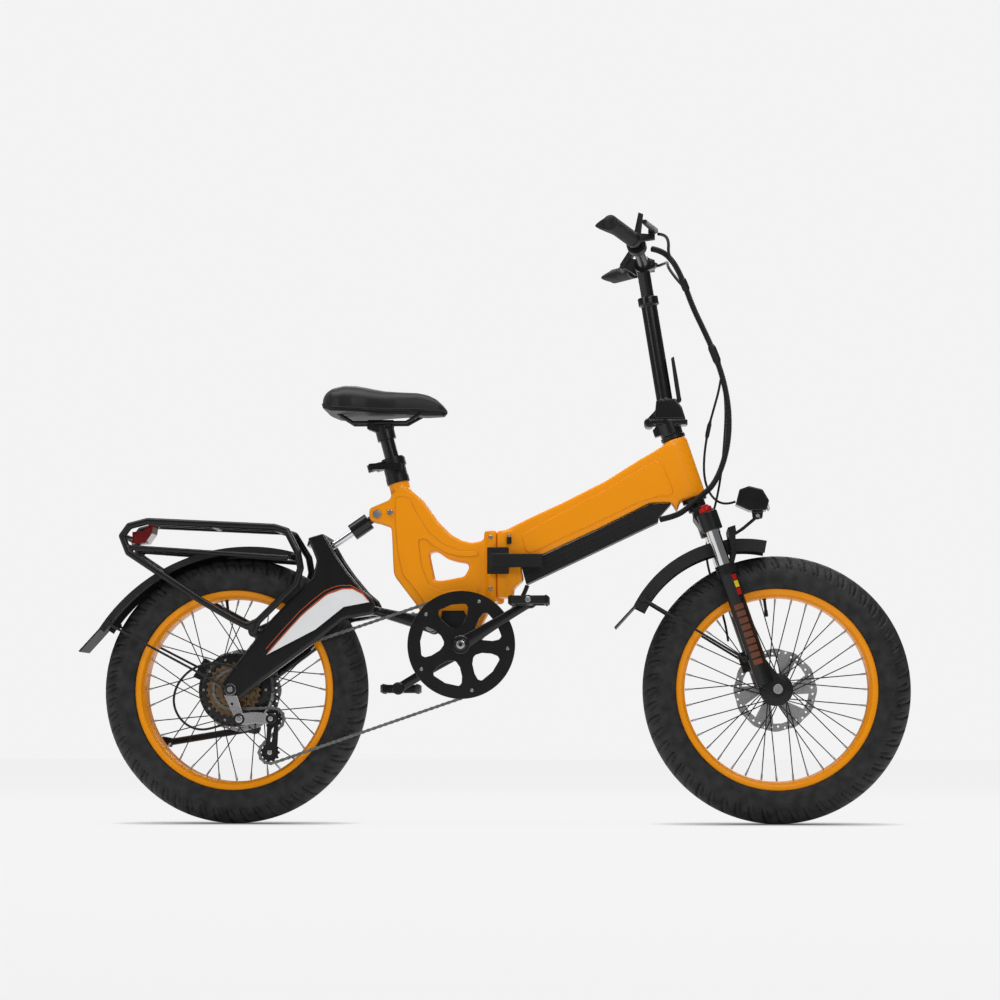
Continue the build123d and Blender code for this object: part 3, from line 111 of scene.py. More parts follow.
def polar(centre, radius, degrees):
    """A side-view point on a circle about centre."""
    a = math.radians(degrees)
    return (centre[0] + radius * math.cos(a), centre[1] + radius * math.sin(a))


# ---- camera ----
camera_data = bpy.data.cameras.new("camera")
camera_data.sensor_width = 36.0
camera_data.lens = 96.43
camera_data.clip_start, camera_data.clip_end = 0.05, 60.0
camera = bpy.data.objects.new("camera", camera_data)
camera.location = (0.3367, -5.6497, 0.1883)
camera.rotation_euler = (math.pi / 2 + 0.087, 0.0, 0.057)
bpy.context.scene.collection.objects.link(camera)
bpy.context.scene.camera = camera


# ---- materials ----
def node_tree(material):
    material.use_nodes = True
    return material.node_tree.nodes, material.node_tree.links


def add_node(nodes, kind, **settings):
    made = nodes.new(kind)
    for key, value in settings.items():
        setattr(made, key, value)
    return made


def linear(colour):
    """An sRGB colour given 0-255 as the shader's linear values."""
    out = []
    for c in colour:
        c = c / 255
        out.append(c / 12.92 if c <= 0.04045 else ((c + 0.055) / 1.055) ** 2.4)
    return (*out, 1.0)


def finish(name, colour, rough=0.4, metal=0.0, coat=0.0, mottle=0.06, mottle_size=30.0, grain=0.1,
           grain_size=1.2, leather=False, second=None, rough_spread=0.12, sheen=0.0, specular=0.32,
           stretch=(1, 1, 1), detail=3.0):
    """A procedural finish: colour that varies, roughness that varies, and a fine relief.

    grain_size and mottle_size are in millimetres. leather gives pebbles instead of noise.
    """
    material = bpy.data.materials.new(name)
    nodes, links = node_tree(material)
    shader = nodes["Principled BSDF"]
    base = linear(colour)
    dark = tuple(c * (1 - mottle) for c in base[:3]) + (1.0,)
    light = linear(second) if second else tuple(min(1, c * (1 + mottle)) for c in base[:3]) + (1.0,)
    place = add_node(nodes, "ShaderNodeTexCoord")
    scaled = add_node(nodes, "ShaderNodeMapping")
    scaled.inputs["Scale"].default_value = stretch
    links.new(place.outputs["Object"], scaled.inputs["Vector"])
    broad = add_node(nodes, "ShaderNodeTexNoise")
    broad.inputs["Scale"].default_value = 1000.0 / mottle_size
    broad.inputs["Detail"].default_value = 4.0
    links.new(scaled.outputs["Vector"], broad.inputs["Vector"])
    ramp = add_node(nodes, "ShaderNodeValToRGB")
    ramp.color_ramp.elements[0].position, ramp.color_ramp.elements[0].color = 0.3, dark
    ramp.color_ramp.elements[1].position, ramp.color_ramp.elements[1].color = 0.7, light
    links.new(broad.outputs["Fac"], ramp.inputs["Fac"])
    links.new(ramp.outputs["Color"], shader.inputs["Base Color"])
    spread = add_node(nodes, "ShaderNodeMapRange")
    spread.inputs["To Min"].default_value = max(0.02, rough - rough_spread / 2)
    spread.inputs["To Max"].default_value = min(1.0, rough + rough_spread / 2)
    links.new(broad.outputs["Fac"], spread.inputs["Value"])
    links.new(spread.outputs["Result"], shader.inputs["Roughness"])
    if leather:
        fine = add_node(nodes, "ShaderNodeTexVoronoi", feature="DISTANCE_TO_EDGE")
        relief = fine.outputs["Distance"]
    else:
        fine = add_node(nodes, "ShaderNodeTexNoise")
        fine.inputs["Detail"].default_value = detail
        relief = fine.outputs["Fac"]
    fine.inputs["Scale"].default_value = 1000.0 / grain_size
    links.new(scaled.outputs["Vector"], fine.inputs["Vector"])
    bump = add_node(nodes, "ShaderNodeBump")
    bump.inputs["Strength"].default_value = grain
    bump.inputs["Distance"].default_value = 0.0004
    links.new(relief, bump.inputs["Height"])
    links.new(bump.outputs["Normal"], shader.inputs["Normal"])
    shader.inputs["Metallic"].default_value = metal
    shader.inputs["Specular IOR Level"].default_value = specular
    shader.inputs["Coat Weight"].default_value = coat
    shader.inputs["Coat Roughness"].default_value = 0.12
    shader.inputs["Sheen Weight"].default_value = sheen
    material.diffuse_color = base
    return material


ORANGE = finish("frame_paint", (254, 156, 0), rough=0.36, specular=0.2, coat=0.3, mottle=0.03,
                mottle_size=120, grain=0.04, grain_size=1.6)
RIM_ORANGE = finish("rim_paint", (253, 156, 2), rough=0.38, specular=0.2, coat=0.2, mottle=0.04, grain=0.05)
GLOSS_BLACK = finish("gloss_black", (9, 9, 10), rough=0.26, coat=0.4, mottle=0.15, grain=0.05)
BLACK_METAL = finish("satin_black_metal", (12, 12, 13), rough=0.36, coat=0.15, mottle=0.2, grain=0.12,
                     grain_size=0.8)
PLASTIC = finish("black_plastic", (15, 15, 16), rough=0.46, mottle=0.15, grain=0.3, grain_size=0.7)
SOFT_PLASTIC = finish("grey_black_plastic", (28, 28, 29), rough=0.52, mottle=0.12, grain=0.3, grain_size=0.6)
TYRE = finish("tyre_rubber", (19, 19, 20), rough=0.58, mottle=0.18, mottle_size=22, grain=0.35,
              grain_size=1.4, second=(47, 47, 49))
GRIP = finish("grip_rubber", (18, 18, 19), rough=0.62, mottle=0.15, grain=0.6, grain_size=1.1, leather=True)
LEATHER = finish("saddle_cover", (16, 16, 17), rough=0.43, mottle=0.15, mottle_size=40, grain=0.32,
                 grain_size=1.5, leather=True, sheen=0.1)
STEEL = finish("bright_steel", (176, 176, 178), rough=0.28, metal=1.0, mottle=0.12, grain=0.2,
               grain_size=0.6, detail=2.0, stretch=(1, 6, 1))
CHROME = finish("chrome", (220, 221, 224), rough=0.09, metal=1.0, mottle=0.05, grain=0.03, rough_spread=0.05)
CHAIN_STEEL = finish("chain_steel", (128, 128, 126), rough=0.33, metal=1.0, mottle=0.25, mottle_size=6,
                     grain=0.2)
COG = finish("cog_steel", (104, 84, 62), rough=0.36, metal=1.0, mottle=0.3, mottle_size=8, grain=0.2,
             second=(140, 118, 92))
DULL_METAL = finish("cast_grey", (84, 84, 86), rough=0.42, metal=0.9, mottle=0.2, grain=0.25, grain_size=0.9)
SPOKE = finish("spoke_black", (24, 24, 25), rough=0.3, metal=0.6, mottle=0.2, grain=0.05)
WHITE = finish("accent_white", (238, 239, 240), rough=0.32, coat=0.3, mottle=0.02, grain=0.06)
RED = finish("red_anodised", (196, 26, 20), rough=0.3, metal=0.35, mottle=0.1, grain=0.08)
LENS_RED = finish("lens_red", (120, 8, 12), rough=0.15, coat=0.8, mottle=0.2, mottle_size=5, grain=0.4,
                  grain_size=2.0, leather=True)
LENS_CLEAR = finish("lens_clear", (228, 232, 236), rough=0.06, coat=1.0, mottle=0.04, grain=0.15,
                    grain_size=3.0, leather=True)
AMBER = finish("amber_reflector", (232, 120, 10), rough=0.2, coat=0.7, mottle=0.15, mottle_size=4, grain=0.5,
               grain_size=2.0, leather=True)
STRIPE = finish("orange_red_stripe", (204, 84, 30), rough=0.35, mottle=0.08, grain=0.05)
BRONZE_PRINT = finish("bronze_print", (112, 62, 38), rough=0.4, mottle=0.15, grain=0.08)
YELLOW = finish("yellow_print", (214, 190, 30), rough=0.4, mottle=0.08, grain=0.08)
SCREEN = finish("screen_glass", (6, 7, 9), rough=0.07, coat=1.0, mottle=0.1, grain=0.02)


# ---- mesh making ----
def put(name, mesh, materials, body=None, nodes=(), bevel=0.0, sharp=38.0):
    """Links a finished mesh as a piece, rides it, and hides the CAD nodes it stands for."""
    mesh.shade_smooth()
    mesh.set_sharp_from_angle(angle=math.radians(sharp))
    for material in materials:
        mesh.materials.append(material)
    piece = bpy.data.objects.new(name, mesh)
    bpy.context.scene.collection.objects.link(piece)
    if bevel:
        soft = piece.modifiers.new("bevel", "BEVEL")
        soft.width = bevel * MM
        soft.segments = 2
        soft.limit_method = "ANGLE"
        soft.angle_limit = math.radians(35)
        soft.harden_normals = True
        soft.use_clamp_overlap = True
    if nodes:
        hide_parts(*nodes)
    if body:
        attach(piece, body)
    return piece


class Kit:
    """Gathers simple solids into one mesh; each carries a material number."""

    def __init__(self):
        self.verts, self.faces, self.kinds = [], [], []

    def add(self, verts, faces, kind=0):
        base = len(self.verts)
        self.verts += [tuple(v) for v in verts]
        self.faces += [tuple(base + i for i in f) for f in faces]
        self.kinds += [kind] * len(faces)

    def rings(self, rings, kind=0, caps=True, closed=False):
        """A skin through rings of points that all have the same count."""
        count = len(rings[0])
        verts = [v for ring in rings for v in ring]
        faces = []
        spans = len(rings) if closed else len(rings) - 1
        for r in range(spans):
            a, b = r * count, ((r + 1) % len(rings)) * count
            for i in range(count):
                j = (i + 1) % count
                faces.append((a + i, a + j, b + j, b + i))
        if caps and not closed:
            faces.append(tuple(range(count))[::-1])
            faces.append(tuple(range((len(rings) - 1) * count, len(rings) * count)))
        self.add(verts, faces, kind)

    def turned(self, origin, direction, profile, kind=0, sides=32, caps=True):
        """A turned part: profile is (distance along, radius) pairs."""
        axis = Vector(direction).normalized()
        across = axis.orthogonal().normalized()
        other = axis.cross(across)
        rings = []
        for t, r in profile:
            centre = Vector(origin) + axis * t
            rings.append([centre + (across * math.cos(a) + other * math.sin(a)) * r
                          for a in (2 * math.pi * i / sides for i in range(sides))])
        self.rings(rings, kind, caps)

    def rod(self, start, end, radius, kind=0, sides=16, chamfer=0.0):
        length = (Vector(end) - Vector(start)).length
        profile = [(0, radius), (length, radius)]
        if chamfer:
            profile = [(0, radius - chamfer), (chamfer, radius), (length - chamfer, radius),
                       (length, radius - chamfer)]
        self.turned(start, Vector(end) - Vector(start), profile, kind, sides)

    def across(self, centre, y_low, y_high, radius, kind=0, sides=48, chamfer=0.8):
        self.rod(at(centre, y_low), at(centre, y_high), radius, kind, sides, chamfer)

    def slab(self, outline, y_low, y_high, kind=0):
        count = len(outline)
        verts = [at(p, y_low) for p in outline] + [at(p, y_high) for p in outline]
        faces = [tuple(range(count)), tuple(range(2 * count - 1, count - 1, -1))]
        for i in range(count):
            j = (i + 1) % count
            faces.append((i, i + count, j + count, j))
        self.add(verts, faces, kind)

    def plate(self, outer, holes, thickness, edge, y, kind=0):
        """A punched plate whose middle lies at width y."""
        verts, faces = punched(outer, holes, thickness, edge)
        self.add([(a, b + y, c) for a, b, c in verts], faces, kind)

    def bolt(self, place, direction, radius, height, kind=0, socket=True, sides=24):
        """A domed bolt head with a hex socket."""
        profile = [(0, radius), (height * 0.6, radius), (height, radius * 0.82)]
        if socket:
            profile += [(height, radius * 0.45), (height * 0.35, radius * 0.42)]
        self.turned(place, direction, profile, kind, sides)

    def sweep(self, points, radius, kind=0, sides=12, closed=False, profile=None):
        """A tube, or a (across, up) profile, along points, without twist."""
        points = [Vector(p) for p in points]
        count = len(points)
        rings, side = [], None
        for i, p in enumerate(points):
            if closed:
                tangent = points[(i + 1) % count] - points[i - 1]
            else:
                tangent = points[min(i + 1, count - 1)] - points[max(i - 1, 0)]
            tangent.normalize()
            if side is None:
                side = tangent.cross(Vector((0, 0, 1)))
                if side.length < 0.05:
                    side = tangent.cross(Vector((1, 0, 0)))
            side = (side - tangent * side.dot(tangent)).normalized()
            up = side.cross(tangent)
            r = radius[i] if isinstance(radius, (list, tuple)) else radius
            if profile:
                rings.append([p + side * (u * r) + up * (w * r) for u, w in profile])
            else:
                rings.append([p + (side * math.cos(a) + up * math.sin(a)) * r
                              for a in (2 * math.pi * k / sides for k in range(sides))])
        self.rings(rings, kind, True, closed)

    def mesh(self, name):
        made = bpy.data.meshes.new(name)
        made.from_pydata([(x * MM, y * MM, z * MM) for x, y, z in self.verts], [], self.faces)
        made.polygons.foreach_set("material_index", self.kinds)
        work = bmesh.new()
        work.from_mesh(made)
        bmesh.ops.recalc_face_normals(work, faces=work.faces)
        work.to_mesh(made)
        work.free()
        return made

    def put(self, name, materials, body=None, nodes=(), bevel=0.0, sharp=38.0):
        return put(name, self.mesh(name), materials, body, nodes, bevel, sharp)


def rounded(points, radius, steps=6, closed=False):
    """A path with its corners rounded to arcs."""
    points = [Vector(p) for p in points]
    count = len(points)
    out = []
    for i, here in enumerate(points):
        if not closed and i in (0, count - 1):
            out.append(here)
            continue
        before, after = points[i - 1], points[(i + 1) % count]
        a, b = before - here, after - here
        half = a.angle(b) / 2
        reach = min(radius / math.tan(half), 0.48 * a.length, 0.48 * b.length) if half < 1.55 else 0
        if reach < 0.5:
            out.append(here)
            continue
        start, end = here + a.normalized() * reach, here + b.normalized() * reach
        for k in range(steps + 1):
            t = k / steps
            out.append(start * (1 - t) ** 2 + here * (2 * t * (1 - t)) + end * t ** 2)
    return out


def punched(outer, holes, thickness, edge=0.0):
    """A plate in the side view with holes through it, as (verts, faces) about y 0."""
    data = bpy.data.curves.new("plate", "CURVE")
    data.dimensions = "2D"
    data.fill_mode = "BOTH"
    data.extrude = max(thickness / 2 - edge, 0.01)
    data.bevel_depth = edge
    data.bevel_resolution = 1
    for loop in [outer] + list(holes):
        line = data.splines.new("POLY")
        line.points.add(len(loop) - 1)
        for point, (x, z) in zip(line.points, loop):
            point.co = (x, z, 0, 1)
        line.use_cyclic_u = True
    holder = bpy.data.objects.new("plate", data)
    mesh = bpy.data.meshes.new_from_object(holder)
    verts = [(v.co.x, v.co.z, v.co.y) for v in mesh.vertices]
    faces = [tuple(p.vertices) for p in mesh.polygons]
    bpy.data.objects.remove(holder)
    bpy.data.curves.remove(data)
    bpy.data.meshes.remove(mesh)
    return verts, faces


def loop_of(centre, radius, count=48):
    """A side-view circle as a loop of points."""
    return [polar(centre, radius, 360.0 * i / count) for i in range(count)]


def rounded_loop(outline, radius, steps):
    """A closed side-view outline with its corners rounded to arcs."""
    return [(p.x, p.z) for p in rounded([Vector(at(spot, 0)) for spot in outline], radius, steps, True)]


def copied(node, material, bevel=0.8, voxel=0.0, soften=0):
    """The CAD node's own shape with eased edges, or remeshed and smoothed when voxel is given."""
    source = frame["nodes"][node]
    mesh = source.data.copy()
    mesh.materials.clear()
    work = bmesh.new()
    work.from_mesh(mesh)
    bmesh.ops.remove_doubles(work, verts=work.verts, dist=1e-5)
    if not voxel:
        bmesh.ops.dissolve_limit(work, angle_limit=math.radians(1.0), verts=work.verts, edges=work.edges)
    work.to_mesh(mesh)
    work.free()
    mesh.name = node + "_shape"
    for attribute in [a.name for a in mesh.attributes if a.name.startswith("_")]:
        mesh.attributes.remove(mesh.attributes[attribute])
    if voxel:
        holder = bpy.data.objects.new("work", mesh)
        bpy.context.scene.collection.objects.link(holder)
        shrink = holder.modifiers.new("remesh", "REMESH")
        shrink.mode = "VOXEL"
        shrink.voxel_size = voxel * MM
        if soften:
            smooth = holder.modifiers.new("smooth", "SMOOTH")
            smooth.factor = 0.5
            smooth.iterations = soften
        bpy.context.view_layer.update()
        graph = bpy.context.evaluated_depsgraph_get()
        mesh = bpy.data.meshes.new_from_object(holder.evaluated_get(graph))
        bpy.data.objects.remove(holder)
        mesh.materials.clear()
    return put(node + "_finish", mesh, [material], source["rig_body"], (node,), 0 if voxel else bevel)


def nurbs_line(points, steps=8):
    """Points read from the smooth NURBS line whose control points these are."""
    data = bpy.data.curves.new("route", "CURVE")
    data.dimensions = "3D"
    line = data.splines.new("NURBS")
    line.points.add(len(points) - 1)
    for point, (x, y, z) in zip(line.points, points):
        point.co = (x, y, z, 1)
    line.order_u = 3
    line.use_endpoint_u = True
    line.resolution_u = steps
    holder = bpy.data.objects.new("route", data)
    mesh = bpy.data.meshes.new_from_object(holder)
    out = [v.co.copy() for v in mesh.vertices]
    bpy.data.objects.remove(holder)
    bpy.data.curves.remove(data)
    bpy.data.meshes.remove(mesh)
    return out


def length_of(points):
    return sum((b - a).length for a, b in zip(points, points[1:]))


# ---- cables ----
RIDGE_STEP = 3.6
CONDUIT = [(338, -96, 1200), (361, -84, 1198), (386, -70, 1174), (406, -60, 1132),
           (424, -53, 1082), (448, -48, 1032), (472, -45, 978), (490, -43, 920),
           (499, -43, 860), (497, -44, 800), (484, -45, 746), (463, -46, 704),
           (438, -47, 684), (412, -42, 660), (386, -32, 643), (353, -20, 637)]
LAMP_WIRE = [(482, -36.2, 932), (478, -28, 908), (468, -20, 874), (455, -14, 828), (446, -8, 772),
             (446, -3, 722), (462, 0, 684), (490, 0, 668), (512, 0, 676)]
BRAKE_HOSE = [(478, -37, 968), (488, -14, 930), (494, 14, 872), (490, 44, 800), (484, 64, 740),
              (474, 94, 684), (458, 104, 630), (450, 106, 572), (462, 102, 516), (480, 94, 462),
              (492, 74, 418), (496, 58, 384)]
FOLD_CONDUIT = [(73, -14, 499.8), (62, -14, 470), (38, -16, 444), (14, -18, 424), (-10, -19, 404),
                (-30, -20, 384)]
GEAR_CABLE = [(-528, -86.9, 324), (-560, -89.5, 334), (-594, -93, 334), (-628, -97, 322), (-656, -98, 290),
              (-664, -98, 252), (-648, -97, 216), (-616, -96, 196), (-580, -95, 198),
              (-539.5, -93, 214)]


def resampled(points, step):
    """The line's points at even spacing."""
    total = length_of(points)
    count = max(2, round(total / step))
    out, run, i = [points[0]], 0.0, 0
    for k in range(1, count):
        target = total * k / count
        while run + (points[i + 1] - points[i]).length < target:
            run += (points[i + 1] - points[i]).length
            i += 1
        piece = points[i + 1] - points[i]
        out.append(points[i] + piece * ((target - run) / piece.length))
    out.append(points[-1])
    return out


def cable(name, route, radius, carrier, stands_for="", ridge=0.0, sleeves=(), part=(0.0, 1.0)):
    """A cable along part of its route.
    """
    line = nurbs_line(route, 10)
    if ridge:
        fine = resampled(line, RIDGE_STEP / 3)
        radii = [radius if i % 3 else radius - ridge for i in range(len(fine))]
    else:
        fine = resampled(line, 5.0)
        radii = [radius] * len(fine)
    for low, high, grown in sleeves:
        for i in range(len(fine)):
            share = i / (len(fine) - 1)
            if low <= share <= high:
                edge = min(share - low, high - share) / max(high - low, 1e-6)
                radii[i] = radius + (grown - radius) * min(1.0, edge * 6)
    first, last = round(part[0] * (len(fine) - 1)), round(part[1] * (len(fine) - 1)) + 1
    fine, radii = fine[first:last], radii[first:last]
    kit = Kit()
    kit.sweep(fine, radii, 0, 14)
    piece = kit.put(name, [PLASTIC], None, (), 0.0, 50)
    if stands_for:
        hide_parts(stands_for)
    if isinstance(carrier, str):
        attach(piece, carrier)
    else:
        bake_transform(piece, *carrier)


# The conduit is one run in two pieces: it bends with the stem's fold above and with the steering below.
CONDUIT_SLEEVES = ((0.36, 0.42, 8.6), (0.14, 0.18, 8.0))
UPPER_SHARE = 0.56
cable("conduit_upper", CONDUIT, 6.4,
      ("stem", "steerer", (0.406, -0.060, 1.132), (0.494, -0.043, 0.900)), "control_cables", 1.1,
      CONDUIT_SLEEVES, (0, UPPER_SHARE))
cable("conduit_lower", CONDUIT, 6.4,
      ("steerer", "front_frame", (0.470, -0.046, 0.712), (0.386, -0.032, 0.643)), "", 1.1, CONDUIT_SLEEVES,
      (UPPER_SHARE, 1))
cable("lamp_wire", LAMP_WIRE, 2.5, "steerer", "", 0.0, ((0.30, 0.42, 4.6),))
cable("front_brake_hose", BRAKE_HOSE, 2.5, "steerer")
cable("fold_conduit", FOLD_CONDUIT, 5.0, "rear_frame", "rear_cables", 0.8)
cable("gear_cable", GEAR_CABLE, 2.5, "swingarm")


# ---- wheels ----
def tyre_mesh(name, centre, turn):
    """A tyre with slanted sipes across a rounded tread and ribbed shoulders."""
    rounds, cross = 720, 76
    mid = TYRE_RADIUS - HALF_TYRE
    inner = RIM_RADIUS - 7.0
    bead = 36.5
    outline = []
    start = math.radians(-46)
    for j in range(cross):
        a = start + (math.pi - 2 * start) * j / (cross - 1)
        outline.append((HALF_TYRE * math.cos(a), mid + HALF_TYRE * math.sin(a)))
    outline = [(y, max(z, RIM_RADIUS + 0.4)) for y, z in outline]
    ring = [(bead, inner)] + outline + [(-bead, inner)]
    y = np.array([p[0] for p in ring])
    z = np.array([p[1] for p in ring])
    arc = np.concatenate([[0], np.cumsum(np.hypot(np.diff(y), np.diff(z)))])
    arc = arc - arc[-1] / 2
    theta = np.arange(rounds) / rounds * 2 * np.pi
    grid_t, grid_s = np.meshgrid(theta, arc, indexing="ij")
    run = grid_t * TYRE_RADIUS
    depth = np.zeros_like(run)
    side = np.sign(grid_s)
    s = np.abs(grid_s)
    pitch = 2 * np.pi * TYRE_RADIUS / 56
    # long slanted grooves from near the centre line to the shoulder, bending as they go
    phase = (run + side * pitch / 4 + 0.62 * s - 0.0042 * s ** 2) % pitch
    groove = np.clip(1.7 - np.abs(phase - pitch / 2) / 1.5, 0, 1)
    depth += 3.6 * groove * np.clip((s - 6) / 4, 0, 1) * np.clip((60 - s) / 6, 0, 1)
    # a short second groove between them on the shoulder
    phase2 = (run + side * pitch / 4 + pitch / 2 + 0.5 * s) % pitch
    groove2 = np.clip(1.5 - np.abs(phase2 - pitch / 2) / 1.5, 0, 1)
    depth += 3.0 * groove2 * np.clip((s - 34) / 3, 0, 1) * np.clip((62 - s) / 5, 0, 1)
    # sidewall rings
    for place in (72.0, 90.0):
        depth -= 0.7 * np.clip(1.2 - np.abs(s - place) / 1.2, 0, 1)
    ny, nz = np.zeros_like(y), np.zeros_like(z)
    ny[1:-1], nz[1:-1] = y[1:-1] / HALF_TYRE, (z[1:-1] - mid) / HALF_TYRE
    radial = z[None, :] - depth * nz[None, :]
    lateral = y[None, :] - depth * ny[None, :]
    radial = np.maximum(radial, inner)
    vx = centre[0] + radial * np.cos(grid_t + turn)
    vz = centre[1] + radial * np.sin(grid_t + turn)
    verts = np.stack([vx, lateral, vz], -1).reshape(-1, 3) * MM
    count = len(ring)
    i, j = np.meshgrid(np.arange(rounds), np.arange(count - 1), indexing="ij")
    n = (i + 1) % rounds
    faces = np.stack([i * count + j, i * count + j + 1, n * count + j + 1, n * count + j], -1).reshape(-1, 4)
    mesh = bpy.data.meshes.new(name)
    mesh.from_pydata(verts.tolist(), [], faces.tolist())
    return mesh


def turned_across(kit, centre, profile, kind=0, sides=96):
    """A ring about the wheel axis whose (y, radius) profile closes on itself."""
    rings = []
    for k in range(sides):
        a = 360.0 * k / sides
        rings.append([at(polar(centre, r, a), y) for y, r in profile])
    kit.rings(rings, kind, False, True)


def wheel(centre, tag, body, hub_radius, flange_y, turn):
    tyre = put(tag + "_tyre_tread", tyre_mesh(tag + "_tyre_tread", centre, turn), [TYRE], body,
               (tag + "_tyre",), 0, 60)
    kit = Kit()
    r = RIM_RADIUS
    turned_across(kit, centre, [(-40, r - 1), (-39, r), (-38, r), (-37.2, r - 1), (-37, r - 8), (37, r - 8),
                                (37.2, r - 1), (38, r), (39, r), (40, r - 1), (40, r - 9), (38.5, r - 12),
                                (30, r - 17), (27, r - 18), (-27, r - 18), (-30, r - 17), (-38.5, r - 12),
                                (-40, r - 9)], 0, 180)
    kit.put(tag + "_rim_hoop", [RIM_ORANGE], body, (tag + "_rim",), 0, 30)
    lacing = Kit()
    for number in range(36):
        side = 1 if number % 2 else -1
        lean = 24 if number % 4 < 2 else -24
        inner = polar(centre, hub_radius + 0.3, number * 10 + lean)
        outer = at(polar(centre, r - 19.0, number * 10), side * 14.0)
        start = at(inner, side * (flange_y + (2.0 if lean > 0 else -2.0)))
        lacing.rod(start, outer, 1.15, 0, 8)
        run = (Vector(outer) - Vector(start)).normalized()
        lacing.turned(Vector(outer) - run * 14, run, [(0, 1.5), (1, 2.0), (13.9, 2.2)], 1, 10)
    lacing.put(tag + "_spoke_lacing", [SPOKE, STEEL], body, (tag + "_spokes",), 0, 40)
    valve = Kit()
    out = polar(centre, r - 19, 97)
    inward = Vector(at(centre, 0)) - Vector(at(out, 0))
    valve.turned(at(polar(centre, r - 17.9, 97), 0), inward,
                 [(0, 4.5), (2, 4.5), (3, 3.2), (24, 3.0), (25, 3.9), (36, 3.9), (38, 3.0)], 0, 16)
    valve.put(tag + "_valve", [PLASTIC], body)
    return tyre


wheel(FRONT, "front", "front_wheel", 34.0, 26.0, 0.03)
wheel(REAR, "rear", "rear_wheel", 78.0, 22.0, 0.11)


def brake_disc(centre, y, bore, tag, body, node):
    """A brake rotor with a wavy rim, drilled ring and slanted arms."""
    outer = []
    for k in range(360):
        a = k
        outer.append(polar(centre, 86.6 + 1.2 * math.cos(math.radians(a * 12)), a))
    holes = []
    for k in range(36):
        shift = (77.0, 81.5, 79.0)[k % 3]
        holes.append(loop_of(polar(centre, shift, k * 10 + 4), 2.5, 12))
    for k in range(6):
        a = k * 60
        window = [polar(centre, bore + 9, a + 8), polar(centre, bore + 9, a + 38), polar(centre, 71, a + 54),
                  polar(centre, 71.5, a + 40), polar(centre, 71, a + 26)]
        holes.append(window)
    holes.append(loop_of(centre, bore, 48))
    kit = Kit()
    kit.plate(outer, holes, 2.0, 0.25, y)
    for k in range(6):
        kit.bolt(at(polar(centre, bore + 5.5, k * 60 + 20), y + 1), (0, 1, 0), 3.4, 2.2, 1)
        kit.bolt(at(polar(centre, bore + 5.5, k * 60 + 20), y - 1), (0, -1, 0), 3.0, 1.4, 1)
    kit.put(tag, [STEEL, GLOSS_BLACK], body, (node,), 0, 40)


brake_disc(FRONT, 47.0, 17.0, "front_brake_disc", "front_wheel", "front_rotor")
brake_disc(REAR, 52.0, 30.0, "rear_brake_disc", "rear_wheel", "rear_rotor")

kit = Kit()
FRONT_HUB = [(-66, 5.2), (-66, 8), (-62, 9), (-52, 9), (-50, 15), (-44, 17), (-32, 15), (-29, 33), (-28, 34),
             (-24, 34), (-23, 33), (-21, 15), (21, 15), (23, 33), (24, 34), (28, 34), (29, 33), (32, 15),
             (48, 15), (50, 15), (52, 9), (62, 9), (66, 8), (66, 5.2)]
turned_across(kit, FRONT, FRONT_HUB, 0, 72)
kit.put("front_hub_shell", [BLACK_METAL], "front_wheel", ("front_hub",), 0, 30)

kit = Kit()
MOTOR = [(-42, 6.2), (-42, 24), (-40, 26), (-32, 44), (-31, 48), (-31, 64), (-27, 74), (-25, 77.5), (-20, 78),
         (20, 78), (25, 77.5), (27, 74), (31, 64), (31, 48), (33, 44), (38, 32), (40, 30), (56, 29.5),
         (57, 28), (57, 6.2)]
turned_across(kit, REAR, MOTOR, 0, 120)
for k in range(36):
    for side in (-1, 1):
        kit.turned(at(polar(REAR, 74.5, k * 10), side * 22), (0, side, 0), [(0, 2.4), (7.6, 2.4), (8, 1.8)],
                   0, 10)
for k in range(10):
    kit.bolt(at(polar(REAR, 66, k * 36), -30.5), (0, -1, 0), 3.0, 1.6, 1)
    kit.bolt(at(polar(REAR, 66, k * 36), 30.5), (0, 1, 0), 3.0, 1.6, 1)
for k in range(5):
    pad = [polar(REAR, 50, k * 72 - 18), polar(REAR, 60, k * 72 - 18), polar(REAR, 60, k * 72 - 6),
           polar(REAR, 60, k * 72 + 6), polar(REAR, 60, k * 72 + 18), polar(REAR, 50, k * 72 + 18),
           polar(REAR, 50, k * 72 + 6), polar(REAR, 50, k * 72 - 6)]
    kit.slab(pad, -32.2, -30.5, 0)
kit.put("motor_shell", [BLACK_METAL, STEEL], "rear_wheel", ("hub_motor",), 0, 30)


# ---- drivetrain ----
def gear_outline(centre, pitch_radius, teeth, height=3.6, root=3.4, turn=0.0):
    """A sprocket's edge: rounded roots and blunt teeth."""
    out = []
    step = 360.0 / teeth
    for k in range(teeth):
        a = turn + k * step
        for share, radius in ((-0.5, pitch_radius - root), (-0.3, pitch_radius - root * 0.8),
                              (-0.14, pitch_radius + height * 0.55), (-0.06, pitch_radius + height),
                              (0.06, pitch_radius + height), (0.14, pitch_radius + height * 0.55),
                              (0.3, pitch_radius - root * 0.8)):
            out.append(polar(centre, radius, a + share * step))
    return out


